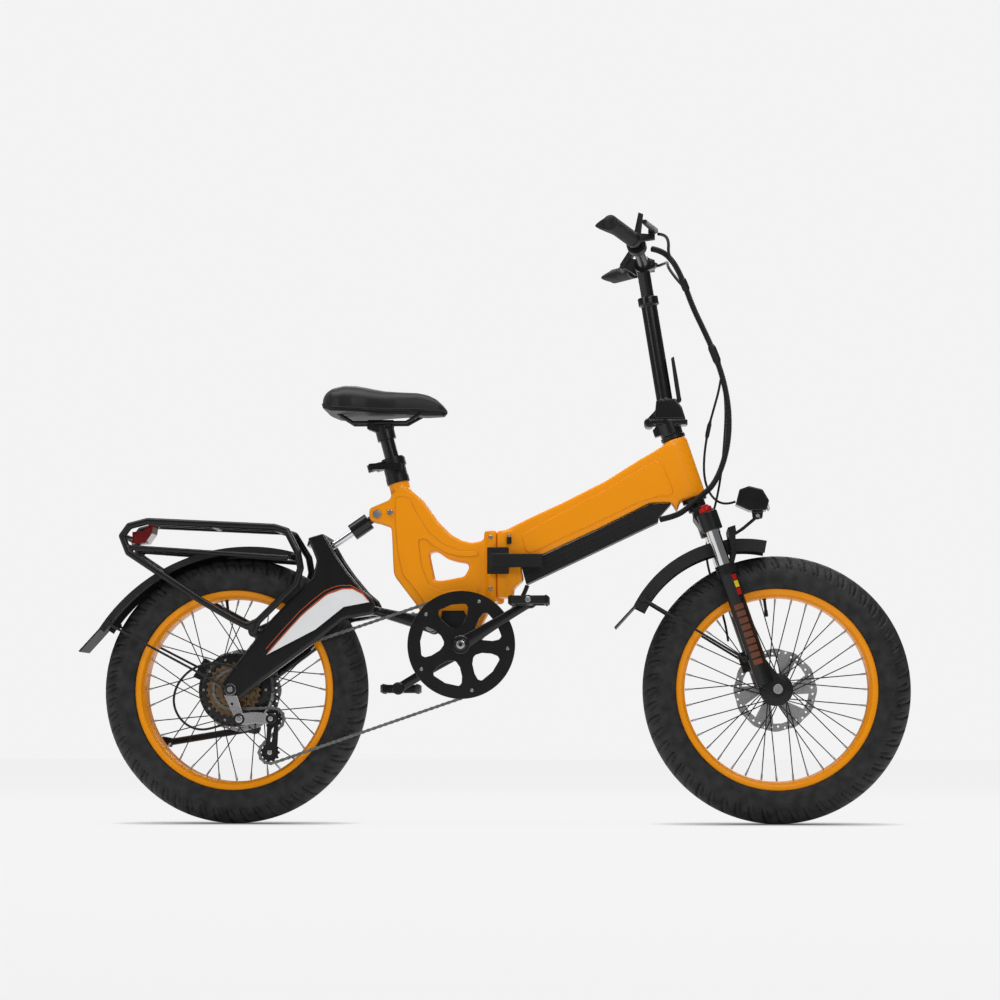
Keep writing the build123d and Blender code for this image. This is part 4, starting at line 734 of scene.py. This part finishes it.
COG_TEETH = (28, 24, 22, 20, 18, 16, 14)
kit = Kit()
first_y = -CHAIN_LINE + 3 * 4.5
for number, teeth in enumerate(COG_TEETH):
    y = first_y - number * 4.5
    radius = CHAIN_PITCH / 2 / math.sin(math.pi / teeth)
    holes = [loop_of(REAR, 12, 24)]
    if number < 4:
        count = 8 if number < 2 else 6
        hole = radius * 0.16
        for k in range(count):
            holes.append(loop_of(polar(REAR, radius * 0.68, 360 / count * k + number * 11), hole, 14))
    height = 1.0 if number != 3 else -1.0
    outline = gear_outline(REAR, radius - (0 if number != 3 else 3.2), teeth, 1.6, 3.6, number * 5)
    kit.plate(outline, holes, 1.8, 0.2, y)
kit.across(REAR, first_y - 29, first_y + 2, 12.6, 1, 40)
kit.put("cassette", [COG, DULL_METAL], "freewheel", ("freewheel",), 0, 40)

RING_PITCH = CHAIN_PITCH / 2 / math.sin(math.pi / 52)
ring_edge = RING_PITCH - 4.8
kit = Kit()
kit.plate(gear_outline(CRANK, ring_edge - 1.5, 52, 1.5, 2.4), [loop_of(CRANK, ring_edge - 13.5, 96)],
          2.0, 0.2, -CHAIN_LINE, 2)


def window(middle):
    """One opening between two crank-spider arms."""
    pts = [polar(CRANK, 36, middle - 6), polar(CRANK, 46, middle - 20), polar(CRANK, 66, middle - 25),
           polar(CRANK, 80, middle - 24), polar(CRANK, 87, middle - 20), polar(CRANK, 87, middle),
           polar(CRANK, 87, middle + 20), polar(CRANK, 80, middle + 24), polar(CRANK, 66, middle + 25),
           polar(CRANK, 46, middle + 20), polar(CRANK, 36, middle + 6)]
    return rounded_loop(pts, 6, 3)


holes = [window(CRANK_ANGLE + 72 * k) for k in range(5)] + [loop_of(CRANK, 12.2, 32)]
kit.plate(loop_of(CRANK, 112, 144), holes, 3.0, 0.8, -CHAIN_LINE - 6.6)
for low, high, r_in, r_out in ((-68, -65.2, 104, 111.2), (-68.0, -65.2, 88.5, 91.5)):
    turned_across(kit, CRANK, [(low, r_in + 0.6), (low, r_out - 0.6), (low + 0.5, r_out), (high, r_out),
                               (high, r_in), (low + 0.5, r_in)], 0, 144)
kit.across(CRANK, -68.0, -59, 25.5, 0, 48)
for k in range(5):
    mid = CRANK_ANGLE + 36 + 72 * k
    rib = [polar(CRANK, 24, mid - 14), polar(CRANK, 60, mid - 6), polar(CRANK, 92, mid - 4),
           polar(CRANK, 92, mid + 4), polar(CRANK, 60, mid + 6), polar(CRANK, 24, mid + 14)]
    kit.slab(rib, -68.2, -66.0, 0)
    kit.bolt(at(polar(CRANK, 97.5, mid), -68), (0, -1, 0), 3.6, 1.6, 1)
    kit.rod(at(polar(CRANK, 90, mid), -66), at(polar(CRANK, 90, mid), -59.2), 5, 0, 14)
kit.put("chainring_guard", [GLOSS_BLACK, STEEL, DULL_METAL], "crankset", ("chainring",), 0, 35)

kit = Kit()
for side, angle in ((-1, CRANK_ANGLE), (1, CRANK_ANGLE + 180)):
    pedal = polar(CRANK, CRANK_LENGTH, angle)
    low, high = sorted((side * 72.0, side * 86.0))
    out_y = side * 86.0
    sections = []
    across = angle + 90
    for t in np.linspace(0, 1, 15):
        c = (CRANK[0] + (pedal[0] - CRANK[0]) * t, CRANK[1] + (pedal[1] - CRANK[1]) * t)
        half = 15.5 - 5.5 * math.sin(min(1, t * 1.15) * math.pi / 2) + (1.6 if t > 0.93 else 0)
        thick = 6.4 - 1.2 * t
        ring = []
        for q in range(20):
            a = 2 * math.pi * q / 20
            u = half * math.copysign(abs(math.cos(a)) ** 0.55, math.cos(a))
            w = thick * math.copysign(abs(math.sin(a)) ** 0.55, math.sin(a))
            spot = polar(c, u, across)
            ring.append((spot[0], side * 79.0 + w, spot[1]))
        sections.append(ring)
    kit.rings(sections, 0)
    kit.across(CRANK, low, high, 19.5, 0, 48, 2.0)
    kit.across(pedal, low, high, 13.5, 0, 40, 2.0)
    kit.bolt(at(CRANK, out_y), (0, side, 0), 9.0, 1.8, 1)
    kit.turned(at(CRANK, out_y - side * 0.5), (0, side, 0), [(0, 13), (1.0, 13), (1.6, 12), (1.6, 9)], 0, 40)
    kit.across(pedal, *sorted((side * 86, side * 194)), 6.0, 1, 20)
    kit.across(pedal, *sorted((side * 86, side * 93)), 8.4, 1, 6)
kit.across(CRANK, -72, 72, 11.8, 0, 32)
kit.put("cranks", [GLOSS_BLACK, STEEL], "crankset", ("crank_arms",), 0, 35)


def pedal_piece(centre, side, tag):
    """A platform pedal: open cage, tread teeth, bearing body and amber reflectors."""
    x, z = centre
    near, far = side * 96.0, side * 188.0
    low, high = min(near, far), max(near, far)
    kit = Kit()
    outer = [(x - 40, low + 12), (x - 34, low), (x + 34, low), (x + 40, low + 12),
             (x + 40, high - 12), (x + 34, high), (x - 34, high), (x - 40, high - 12)]
    inner = [(x - 32, low + 14), (x - 28, low + 8), (x + 28, low + 8), (x + 32, low + 14),
             (x + 32, high - 14), (x + 28, high - 8), (x - 28, high - 8), (x - 32, high - 14)]
    verts, faces = punched(outer, [inner], 17.0, 1.6)
    kit.add([(a, c, b + z) for a, b, c in verts], faces, 0)
    kit.turned((x, low + 2, z), (0, 1, 0), [(0, 9), (2, 10), (high - low - 6, 9), (high - low - 4, 7)], 0, 24)
    for spot in (low + 30, high - 30):
        kit.slab([(x - 33, z - 5), (x + 33, z - 5), (x + 33, z + 5), (x - 33, z + 5)], spot - 3, spot + 3, 0)
    for edge in (-1, 1):
        for k in range(7):
            y = low + 14 + (high - low - 28) * k / 6
            for up in (-1, 1):
                kit.turned((x + edge * 36, y, z + up * 8), (0, 0, up), [(0, 2.2), (1.8, 1.8), (2.6, 1.0)],
                           0, 8)
        mid = (low + high) / 2
        kit.add([(x + edge * 40.2, mid - 22, z - 6), (x + edge * 40.2, mid + 22, z - 6),
                 (x + edge * 40.2, mid + 22, z + 6), (x + edge * 40.2, mid - 22, z + 6),
                 (x + edge * 38, mid - 22, z - 6), (x + edge * 38, mid + 22, z - 6),
                 (x + edge * 38, mid + 22, z + 6), (x + edge * 38, mid - 22, z + 6)],
                [(0, 1, 2, 3), (7, 6, 5, 4), (0, 4, 5, 1), (1, 5, 6, 2), (2, 6, 7, 3), (3, 7, 4, 0)], 1)
    for end, way in ((low, -1), (high, 1)):
        for shift in (-24, 24):
            kit.slab([(x + shift - 8, z - 5.5), (x + shift + 8, z - 5.5), (x + shift + 8, z + 5.5),
                      (x + shift - 8, z + 5.5)], *sorted((end - way * 1, end + way * 0.3)), 1)
        kit.turned((x, end - way * 1.5, z), (0, way, 0), [(0, 7.5), (1.8, 7.5), (1.8, 5)], 1, 20)
    kit.put(tag + "_platform", [PLASTIC, AMBER], tag, (tag,), 0.3, 35)


pedal_piece(polar(CRANK, CRANK_LENGTH, CRANK_ANGLE), -1, "pedal_right")
pedal_piece(polar(CRANK, CRANK_LENGTH, CRANK_ANGLE + 180), 1, "pedal_left")

JOCKEY_TOP = (REAR[0] + 86.0, REAR[1] - 61.0)
JOCKEY_LOW = (REAR[0] + 80.0, REAR[1] - 131.0)
COG_PITCH = CHAIN_PITCH / 2 / math.sin(math.pi / 20)


def belt(wheels, pitch):
    """Pin places, a pitch apart, along the line round wheels given as (centre, radius, way)."""
    legs, points = [], []
    for number, (a, ra, wa) in enumerate(wheels):
        b, rb, wb = wheels[(number + 1) % len(wheels)]
        dx, dz = b[0] - a[0], b[1] - a[1]
        heading = math.atan2(dz, dx) + math.asin((wa * ra - wb * rb) / math.hypot(dx, dz)) - math.pi / 2
        legs.append(((a[0] + wa * ra * math.cos(heading), a[1] + wa * ra * math.sin(heading)),
                     (b[0] + wb * rb * math.cos(heading), b[1] + wb * rb * math.sin(heading))))
    for number, (centre, radius, way) in enumerate(wheels):
        start, end = legs[number - 1][1], legs[number][0]
        first = math.atan2(start[1] - centre[1], start[0] - centre[0])
        sweep = (math.atan2(end[1] - centre[1], end[0] - centre[0]) - first) * way % (2 * math.pi)
        for k in range(25):
            a = first + way * sweep * k / 24
            points.append(Vector((centre[0] + radius * math.cos(a), 0, centre[1] + radius * math.sin(a))))
    points.append(points[0])
    total = length_of(points)
    return resampled(points, total / round(total / pitch))[:-1]


pins = belt([(CRANK, RING_PITCH, -1), (JOCKEY_LOW, 23.0, -1), (JOCKEY_TOP, 23.0, 1), (REAR, COG_PITCH, -1)],
            CHAIN_PITCH)
if len(pins) % 2:
    pins = pins[:-1]
kit = Kit()
for k, here in enumerate(pins):
    there = pins[(k + 1) % len(pins)]
    run = (there - here)
    u = run.normalized()
    n = Vector((-u.z, 0, u.x))
    spread = 2.7 if k % 2 else 1.6
    outline = []
    for end, way in ((here, -1), (there, 1)):
        for a in (-75, -38, 0, 38, 75):
            t = math.radians(a) * way
            outline.append(end + u * (way * 3.7 * math.cos(t)) + n * (3.7 * math.sin(t)))
    mid = (here + there) / 2
    low = outline[5:] + [mid + n * 2.5] + outline[:5] + [mid - n * 2.5]
    shape = [(p.x, p.z) for p in low]
    for side in (-1, 1):
        y = -CHAIN_LINE + side * spread
        kit.slab(shape, y - 0.5, y + 0.5, 0)
    kit.across((here.x, here.z), -CHAIN_LINE - 3.25, -CHAIN_LINE + 3.25, 1.7, 0, 8, 0)
    kit.across((here.x, here.z), -CHAIN_LINE - 1.2, -CHAIN_LINE + 1.2, 3.6, 0, 10, 0)
kit.put("chain_links", [CHAIN_STEEL], "swingarm", ("chain",), 0, 30)

kit = Kit()
for y in (-CHAIN_LINE - 4.9, -CHAIN_LINE + 4.9):
    a, b = JOCKEY_TOP, JOCKEY_LOW
    outline = [(a[0] - 11, a[1] - 4), (a[0] - 10, a[1] + 8), (a[0] - 2, a[1] + 12), (a[0] + 9, a[1] + 8),
               (a[0] + 11, a[1] - 2), (b[0] + 15, b[1] + 22), (b[0] + 13, b[1] - 6), (b[0] + 2, b[1] - 13),
               (b[0] - 9, b[1] - 9), (b[0] - 12, b[1] + 4), (b[0] - 7, b[1] + 26)]
    outline = rounded_loop(outline, 5, 4)
    slot_shape = [(a[0] - 3, a[1] - 16), (a[0] + 3, a[1] - 16), (b[0] + 4, b[1] + 20), (b[0] - 1, b[1] + 20)]
    kit.plate(outline, [slot_shape], 2.0, 0.4, y)
for centre in (JOCKEY_TOP, JOCKEY_LOW):
    holes = [loop_of(polar(centre, 10.2, 72 * k), 3.0, 12) for k in range(5)]
    kit.plate(gear_outline(centre, 19.0, 11, 1.6, 2.2), holes, 3.4, 0.5, -CHAIN_LINE)
    kit.across(centre, -CHAIN_LINE - 5.4, -CHAIN_LINE + 5.4, 4.6, 0, 20)
    kit.bolt(at(centre, -CHAIN_LINE - 5.9), (0, -1, 0), 5.0, 1.6, 1)
kit.across(JOCKEY_TOP, -76, -CHAIN_LINE - 5, 6.0, 0, 24)
kit.put("derailleur_cage_plates", [PLASTIC, STEEL], "derailleur_cage", ("derailleur_cage",), 0, 40)

PIVOT = (REAR[0] + 20.0, REAR[1] - 62.0)
kit = Kit()
kit.across(PIVOT, -ARM_OUTER - 14, -ARM_OUTER - 0.4, 12.6, 0, 40, 1.5)
kit.bolt(at(PIVOT, -ARM_OUTER - 14), (0, -1, 0), 7.5, 1.6, 1)
hanger = [(REAR[0] - 12, REAR[1] - 12), (REAR[0] + 14, REAR[1] - 14), (PIVOT[0] + 10, PIVOT[1]),
          (PIVOT[0] - 8, PIVOT[1])]
kit.plate(hanger, [loop_of((REAR[0] + 4, REAR[1] - 30), 4, 14)], 7.4, 0.8, -ARM_OUTER - 4.2, 1)
arm = [(PIVOT[0] + 4, PIVOT[1] + 11), (PIVOT[0] + 30, PIVOT[1] + 14), (JOCKEY_TOP[0] - 8, JOCKEY_TOP[1] + 11),
       (JOCKEY_TOP[0] - 2, JOCKEY_TOP[1] - 10), (PIVOT[0] + 34, PIVOT[1] - 7), (PIVOT[0] + 2, PIVOT[1] - 11)]
arm = rounded_loop(arm, 6, 4)
kit.plate(arm, [], 6.0, 1.4, -ARM_OUTER - 10.6, 1)
kit.plate(arm, [], 6.0, 1.4, -ARM_OUTER - 5.6)
kit.across(JOCKEY_TOP, -ARM_OUTER - 14, -76.2, 11.5, 0, 36, 1.5)
kit.bolt(at(JOCKEY_TOP, -ARM_OUTER - 13.9), (0, -1, 0), 5.0, 1.4, 1)
kit.put("derailleur_body", [BLACK_METAL, STEEL], "swingarm", ("derailleur",), 0.2, 40)

# ---- the nodes that keep the CAD shape ----
# Each row is a CAD node kept in its own shape: with eased edges of one size, or remeshed at a
# voxel size and smoothed so many times.
CAST = (
    ("rear_frame", ORANGE, 2.4, 30), ("front_frame", ORANGE, 2.6, 30),
    ("swingarm", GLOSS_BLACK, 2.4, 18), ("accent_panels", WHITE, 0.3),
    ("bottom_bracket", BLACK_METAL, 1.2), ("frame_pins", STEEL, 0.6), ("seat_collar", BLACK_METAL, 0.8),
    ("seat_clamp_lever", GLOSS_BLACK, 1.6), ("seatpost", GLOSS_BLACK, 0.3),
    ("saddle_clamp", BLACK_METAL, 0.8), ("headset", BLACK_METAL, 0.6), ("battery", PLASTIC, 2.0),
    ("frame_latch", PLASTIC, 1.2, 6), ("fork_crown", BLACK_METAL, 1.2, 5), ("stanchions", CHROME, 0.4),
    ("stem_base", GLOSS_BLACK, 1.2, 5), ("stem", GLOSS_BLACK, 1.4, 6), ("stem_latch", PLASTIC, 1.4),
    ("riser", GLOSS_BLACK, 0.8), ("handlebar", BLACK_METAL, 0.3), ("cockpit", PLASTIC, 1.2),
    ("brake_lever_right", BLACK_METAL, 1.0, 6), ("brake_lever_left", BLACK_METAL, 1.0, 6),
    ("shift_lever", PLASTIC, 1.2), ("rack", BLACK_METAL, 1.8, 6), ("tail_light", LENS_RED, 1.5),
    ("rear_axle", STEEL, 0.6), ("rear_caliper", BLACK_METAL, 1.0), ("front_caliper", BLACK_METAL, 1.0),
    ("front_axle", STEEL, 0.8), ("fork_lowers", BLACK_METAL, 0.8), ("headlight", GLOSS_BLACK, 1.2, 8),
    ("shock_body", GLOSS_BLACK, 0.8), ("shock_shaft", CHROME, 0.5), ("kickstand", PLASTIC, 1.4, 5),
    ("front_mudguard", SOFT_PLASTIC, 0.8), ("rear_mudguard", SOFT_PLASTIC, 0.8), ("grips", GRIP, 1.0),
    ("saddle_shell", PLASTIC, 1.0),
)
for node, material, *ease in CAST:
    if len(ease) == 1:
        copied(node, material, bevel=ease[0])
    else:
        copied(node, material, voxel=ease[0], soften=ease[1])


# ---- fittings on the frame and fork ----
LUG = (-245.0, 651.0)
kit = Kit()
for side in (-1, 1):
    for place in (LUG, (LUG[0] + 28, LUG[1] + 3)):
        kit.across(place, *sorted((side * 23.6, side * 26.0)), 9.0, 0, 32, 0.8)
        kit.bolt(at(place, side * 25.8), (0, side, 0), 6.2, 2.6, 1)
kit.put("lug_bolts", [ORANGE, STEEL], "rear_frame")


def patch(kit, low, high, around, width, radius, kind, side):
    """A thin patch on a fork leg, from low to high along it and width degrees round it."""
    rows = []
    ahead = Vector((HEAD_AHEAD[0], 0, HEAD_AHEAD[1]))
    for lift, turn_way in ((0.0, 1), (0.35, -1)):
        line = []
        for k in range(13):
            a = math.radians(around + width * (k / 12 - 0.5) * turn_way)
            out_by = radius + lift
            line.append(Vector((0, side * math.cos(a), 0)) * out_by + ahead * math.sin(a) * out_by)
        rows.append(line)
    ring = rows[0] + rows[1]
    ends = []
    for s in (low, high):
        centre = Vector(at(fork(s, LEG_AHEAD), side * LEG_Y))
        ends.append([centre + p for p in ring])
    kit.rings(ends, kind)


kit = Kit()
for side in (-1, 1):
    for low, high, kind in ((322, 334, 0), (336, 350, 1), (352, 366, 0)):
        patch(kit, low, high, 38, 34, LEG_SKIN, kind, side)
    for k in range(9):
        patch(kit, 384 + 15 * k, 395 + 15 * k, 0, 62, LEG_SKIN, 2, side)
kit.put("fork_bands", [RED, YELLOW, BRONZE_PRINT], "fork_lowers")

kit = Kit()
for side in (-1, 1):
    start, end = at(fork(170.6, LEG_AHEAD), side * LEG_Y), at(fork(181.6, LEG_AHEAD), side * LEG_Y)
    kit.turned(start, Vector(end) - Vector(start),
               [(0, 11.5), (1, 13.4), (5, 13.7), (9.6, 14.2), (10.8, 13.6)], 0, 40)
    kit.rod(at(fork(166.0, LEG_AHEAD), side * LEG_Y), at(fork(170.8, LEG_AHEAD), side * LEG_Y), 8.5, 0, 24, 1)
kit.put("fork_knobs", [RED], "steerer")

kit = Kit()
for side in (-1, 1):
    for k in range(5):
        s0 = 297.5 + 4.2 * k
        a, b = at(fork(s0, LEG_AHEAD), side * LEG_Y), at(fork(s0 + 3.0, LEG_AHEAD), side * LEG_Y)
        kit.turned(a, Vector(b) - Vector(a), [(0, 20.4), (0.7, 21.3), (2.3, 21.3), (3.0, 20.4)], 0, 40)
kit.put("fork_seals", [PLASTIC], "fork_lowers")

# the orange-red line along both edges of the swingarm's pale panel
PANEL_TOP = [(-466, 357), (-432, 396), (-396, 435), (-370, 458), (-344, 478), (-326, 486), (-310, 490),
             (-289, 490), (-268, 479), (-256, 465)]
kit = Kit()
for side in (-1, 1):
    path = resampled([Vector(at(p, side * (ARM_OUTER + 0.2))) for p in PANEL_TOP], 6.0)
    kit.sweep(path, 1.3, 0, 8)
    raised = [Vector((p.x - 5.0, p.y, p.z + 7.0)) for p in path]
    kit.sweep(raised, 0.7, 0, 8)
kit.put("arm_pinstripe", [STRIPE], "swingarm")
kit = Kit()
for side in (-1, 1):
    for place in ((-359.0, 572.5), (-63.0 - 104, 437.0)):
        kit.bolt(at(place, side * 24.0), (0, side, 0), 7.0, 2.4, 0)
    kit.bolt(at((-497, 402), side * (ARM_OUTER + 0.1)), (0, side, 0), 6.0, 3.0, 0)
kit.put("arm_bolts", [STEEL], "swingarm")

# battery: lengthwise ribs and two joints
BATTERY_LOW = ((77.0, 506.0), (343.0, 631.5))
kit = Kit()
run = Vector((BATTERY_LOW[1][0] - BATTERY_LOW[0][0], 0, BATTERY_LOW[1][1] - BATTERY_LOW[0][1]))
rise = Vector((-run.z, 0, run.x)).normalized()
for side in (-1, 1):
    for level, tall in ((5.0, 1.6), (12.5, 1.6), (24.0, 2.4)):
        a = Vector((BATTERY_LOW[0][0], 0, BATTERY_LOW[0][1])) + rise * level
        b = a + run * (0.985 if level < 20 else 0.93)
        outline = [(a.x, a.z), (b.x, b.z), (b.x + rise.x * tall, b.z + rise.z * tall),
                   (a.x + rise.x * tall, a.z + rise.z * tall)]
        kit.slab(outline, *sorted((side * BATTERY_SKIN, side * 27.2)), 0)
    for share in (0.32, 0.66):
        a = Vector((BATTERY_LOW[0][0], 0, BATTERY_LOW[0][1])) + run * share + rise * 2
        along = run.normalized() * 3.0
        top = a + rise * 30
        kit.slab([(a.x, a.z), (a.x + along.x, a.z + along.z), (top.x + along.x, top.z + along.z),
                  (top.x, top.z)], *sorted((side * BATTERY_SKIN, side * 27.6)), 0)
kit.put("battery_ribs", [SOFT_PLASTIC], "battery", (), 0.3)

# frame hinge: a key barrel over the latch, and the bolts of its plates
kit = Kit()
kit.rod((36, -38, 586), (36, -38, 600), 5.0, 0, 24, 0.8)
kit.rod((36, -38, 600), (36, -38, 606), 3.0, 1, 20, 0.5)
kit.put("hinge_key", [PLASTIC, STEEL], "front_frame")
kit = Kit()
for z in (492.0, 600.0):
    kit.bolt((9.6 - 13, -40.0, z), (0, -1, 0), 4.5, 1.8, 0)
kit.put("hinge_bolts", [STEEL], "rear_frame")

# the raised faces of the cast halves, which catch the light along their edges
BEAM_FACE = [(62, 606), (144, 652), (238, 700), (318, 748), (346, 764), (362, 742), (384, 688), (350, 686),
             (300, 670), (225, 634), (144, 597), (72, 562)]
COLUMN_FACE = [(-206, 690), (-176, 684), (-160, 650), (-134, 610), (-104, 585), (-70, 572), (-30, 572),
               (-30, 561), (-66, 560), (-98, 568), (-126, 584), (-142, 600), (-158, 596), (-150, 540),
               (-134, 500), (-104, 486), (-60, 494), (-30, 500), (-30, 440), (-108, 432), (-134, 448),
               (-158, 484), (-190, 524), (-200, 570), (-206, 632)]
for tag, outline, half, owner in (("beam_face", BEAM_FACE, 29.0, "front_frame"),
                                  ("column_face", COLUMN_FACE, 23.0, "rear_frame")):
    for side in (-1, 1):
        kit = Kit()
        kit.slab(rounded_loop(outline, 14, 5), *sorted((side * half, side * (half + 3.4))), 0)
        kit.put(tag + ("_right" if side < 0 else "_left"), [ORANGE], owner, (), 2.6, 30)

# headlight: lens and side screws
kit = Kit()
axis = Vector((0.95, 0, 0.31))
rings = []
for out_by, half_y, half_z in ((-1.5, 22, 11.5), (0.6, 21.6, 11.2), (2.6, 18, 9), (3.3, 9, 4.5)):
    ring = []
    for k in range(32):
        a = 2 * math.pi * k / 32
        c, n = math.cos(a), math.sin(a)
        y = half_y * math.copysign(abs(c) ** 0.6, c)
        v = half_z * math.copysign(abs(n) ** 0.6, n)
        centre = Vector((578.6, 0, 667.0)) + axis * out_by
        ring.append(centre + Vector((0, y, 0)) + Vector((-0.31, 0, 0.95)) * v)
    rings.append(ring)
kit.rings(rings, 0)
for side in (-1, 1):
    kit.bolt((558, side * 12.0, 645), (0, side, 0), 4.6, 2.2, 1)
kit.put("headlight_lens", [LENS_CLEAR, STEEL], "headlight", (), 0, 30)

# hoses from both levers into the conduit
kit = Kit()
for points in (((352, 190, 1214), (366, 150, 1212), (372, 60, 1200), (372, -10, 1176), (392, -44, 1142),
                (408, -58, 1122)),
               ((352, -188, 1214), (366, -170, 1216), (374, -130, 1208), (372, -96, 1190), (386, -74, 1166),
                (402, -62, 1136))):
    kit.sweep(resampled(nurbs_line(points, 10), 5.0), 3.2, 0, 12)
kit.put("lever_hoses", [PLASTIC], "riser")

# display glass, and the winged ends of the grips
BAR_AT = (318.4, 1182.0)
kit = Kit()
kit.slab([(BAR_AT[0] - 47.5, BAR_AT[1] + 8), (BAR_AT[0] - 25, BAR_AT[1] + 42.5),
          (BAR_AT[0] - 26, BAR_AT[1] + 43.3), (BAR_AT[0] - 48.5, BAR_AT[1] + 8.8)], 34, 76, 0)
kit.put("display_glass", [SCREEN], "riser")
kit = Kit()
for side in (-1, 1):
    start, end = Vector((303, side * 180, 1202)), Vector((254, side * 320, 1214))
    run = (end - start).normalized()
    rings = []
    for t in np.linspace(0.5, 0.995, 14):
        grow = max(0.0, (t - 0.5) / 0.495)
        centre = start + (end - start) * float(t)
        back_way = Vector((-1, 0, -0.12)) - run * Vector((-1, 0, -0.12)).dot(run)
        back_way.normalize()
        up = run.cross(back_way).normalized()
        reach = 15.0 + 17.0 * math.sin(grow * math.pi / 2) ** 2
        ring = []
        for k in range(28):
            a = 2 * math.pi * k / 28
            c, n = math.cos(a), math.sin(a)
            far = reach if c > 0 else 15.6
            thick = 15.8 - (7.5 * grow * max(0.0, c) ** 0.8)
            ring.append(centre + back_way * (c * far) + up * (n * thick))
        rings.append(ring)
    kit.rings(rings, 0)
    kit.turned(end - run * 3, run, [(0, 15.2), (2.4, 15.2), (4.4, 13.0)], 1, 32)
kit.put("grip_wings", [GRIP, PLASTIC], "riser", (), 0, 50)


# ---- saddle ----
def saddle_station(x):
    """Half width, top height and bottom height of the saddle at x."""
    widths = [(-362, 26), (-358, 52), (-350, 74), (-338, 90), (-318, 98), (-290, 97), (-262, 86), (-236, 68),
              (-205, 49), (-170, 36), (-135, 28), (-115, 23), (-104, 16), (-97.5, 6)]
    tops = [(-362, 893), (-358, 903), (-350, 912), (-336, 920), (-312, 925), (-285, 924), (-258, 919),
            (-229, 914), (-190, 912), (-160, 911), (-138, 906), (-120, 897), (-106, 884), (-97.5, 873)]
    lows = [(-362, 882), (-350, 874), (-330, 868), (-290, 866), (-250, 866), (-210, 868), (-160, 870),
            (-120, 868), (-97.5, 867)]
    return [float(np.interp(x, [p[0] for p in t], [p[1] for p in t])) for t in (widths, tops, lows)]


kit = Kit()
rings = []
stations = np.concatenate([np.linspace(-362, -340, 8), np.linspace(-335, -125, 40),
                           np.linspace(-120, -97.5, 12)])
for x in stations:
    half, top, low = saddle_station(x)
    ring = []
    for k in range(48):
        a = 2 * math.pi * k / 48
        c, s = math.cos(a), math.sin(a)
        y = half * math.copysign(abs(c) ** 0.75, c)
        if s >= 0:
            z = low + 4 + (top - low - 4) * abs(s) ** 0.62
            fade = min(1, max(0, (-x - 150) / 60)) * min(1, max(0, (x + 350) / 40))
            z -= 2.6 * math.exp(-(y / 8.0) ** 2) * fade
        else:
            z = low + 4 - 4 * abs(s) ** 0.5
        ring.append((x, y, z))
    rings.append(ring)
kit.rings(rings, 0)
mesh = kit.mesh("saddle_cover_shape")
saddle = put("saddle_cushion", mesh, [LEATHER], "seatpost", ("saddle_pad",), 0, 60)
soft = saddle.modifiers.new("round", "SUBSURF")
soft.levels = soft.render_levels = 1
kit = Kit()
edge = []
for side in (1, -1):
    line = stations if side == 1 else stations[::-1]
    for x in line[2:-1] if side == 1 else line[1:-2]:
        half, top, low = saddle_station(x)
        edge.append((x, side * (half - 0.6), low + 3.6))
kit.sweep(edge, 1.5, 0, 8, True)
kit.put("saddle_piping", [PLASTIC], "seatpost")

# ---- floor and light ----
floor_mesh = bpy.data.meshes.new("floor")
size = 14.0
floor_mesh.from_pydata([(-size, -size, 0), (size, -size, 0), (size, size, 0), (-size, size, 0)], [],
                       [(0, 1, 2, 3)])
floor = bpy.data.objects.new("floor", floor_mesh)
bpy.context.scene.collection.objects.link(floor)
floor_material = bpy.data.materials.new("floor_paper")
nodes, links = node_tree(floor_material)
shader = nodes["Principled BSDF"]
shader.inputs["Base Color"].default_value = (0.05, 0.05, 0.05, 1.0)
shader.inputs["Roughness"].default_value = 0.9
shader.inputs["Specular IOR Level"].default_value = 0.0
shader.inputs["Emission Strength"].default_value = 0.86
# the floor glows evenly, and ambient occlusion darkens that glow where the tyres and stand come near it: a
# painted contact shadow
painted_shadow_ao = nodes.new("ShaderNodeAmbientOcclusion")
painted_shadow_ao.inputs["Distance"].default_value = 0.11
painted_shadow_ao.samples = 8
deepen = nodes.new("ShaderNodeGamma")
deepen.inputs["Gamma"].default_value = 1.5
links.new(painted_shadow_ao.outputs["Color"], deepen.inputs["Color"])
links.new(deepen.outputs["Color"], shader.inputs["Emission Color"])
floor_mesh.materials.append(floor_material)
world = bpy.data.worlds.new("world")
bpy.context.scene.world = world
world.use_nodes = True
sky, sky_links = world.node_tree.nodes, world.node_tree.links
seen = sky["Background"]
seen.inputs["Color"].default_value = linear((243, 243, 243))
seen.inputs["Strength"].default_value = 1.0
ambient = sky.new("ShaderNodeBackground")
ambient.inputs["Color"].default_value = (1.0, 1.0, 1.0, 1.0)
ambient.inputs["Strength"].default_value = 0.16
path = sky.new("ShaderNodeLightPath")
choose = sky.new("ShaderNodeMixShader")
sky_links.new(path.outputs["Is Camera Ray"], choose.inputs[0])
sky_links.new(ambient.outputs[0], choose.inputs[1])
sky_links.new(seen.outputs[0], choose.inputs[2])
sky_links.new(choose.outputs[0], sky["World Output"].inputs["Surface"])


def lamp(name, place, aim, width, power):
    data = bpy.data.lights.new(name, "AREA")
    data.energy = power
    data.shape = "RECTANGLE"
    data.size, data.size_y = width
    light = bpy.data.objects.new(name, data)
    light.location = place
    light.rotation_euler = (Vector(aim) - Vector(place)).to_track_quat("-Z", "Y").to_euler()
    bpy.context.scene.collection.objects.link(light)


lamp("top", (0.0, -0.2, 3.4), (0, 0, 0.3), (5.0, 2.2), 100)
lamp("key", (1.4, -3.6, 2.6), (0.1, 0, 0.5), (2.2, 1.2), 34)
lamp("side", (-3.2, -2.8, 1.9), (-0.2, 0, 0.5), (1.4, 1.8), 20)
lamp("rim", (0.4, 3.0, 2.2), (0, 0, 0.5), (3.0, 1.2), 30)

bpy.context.scene.view_settings.view_transform = "Standard"
bpy.context.scene.view_settings.exposure = 0.0
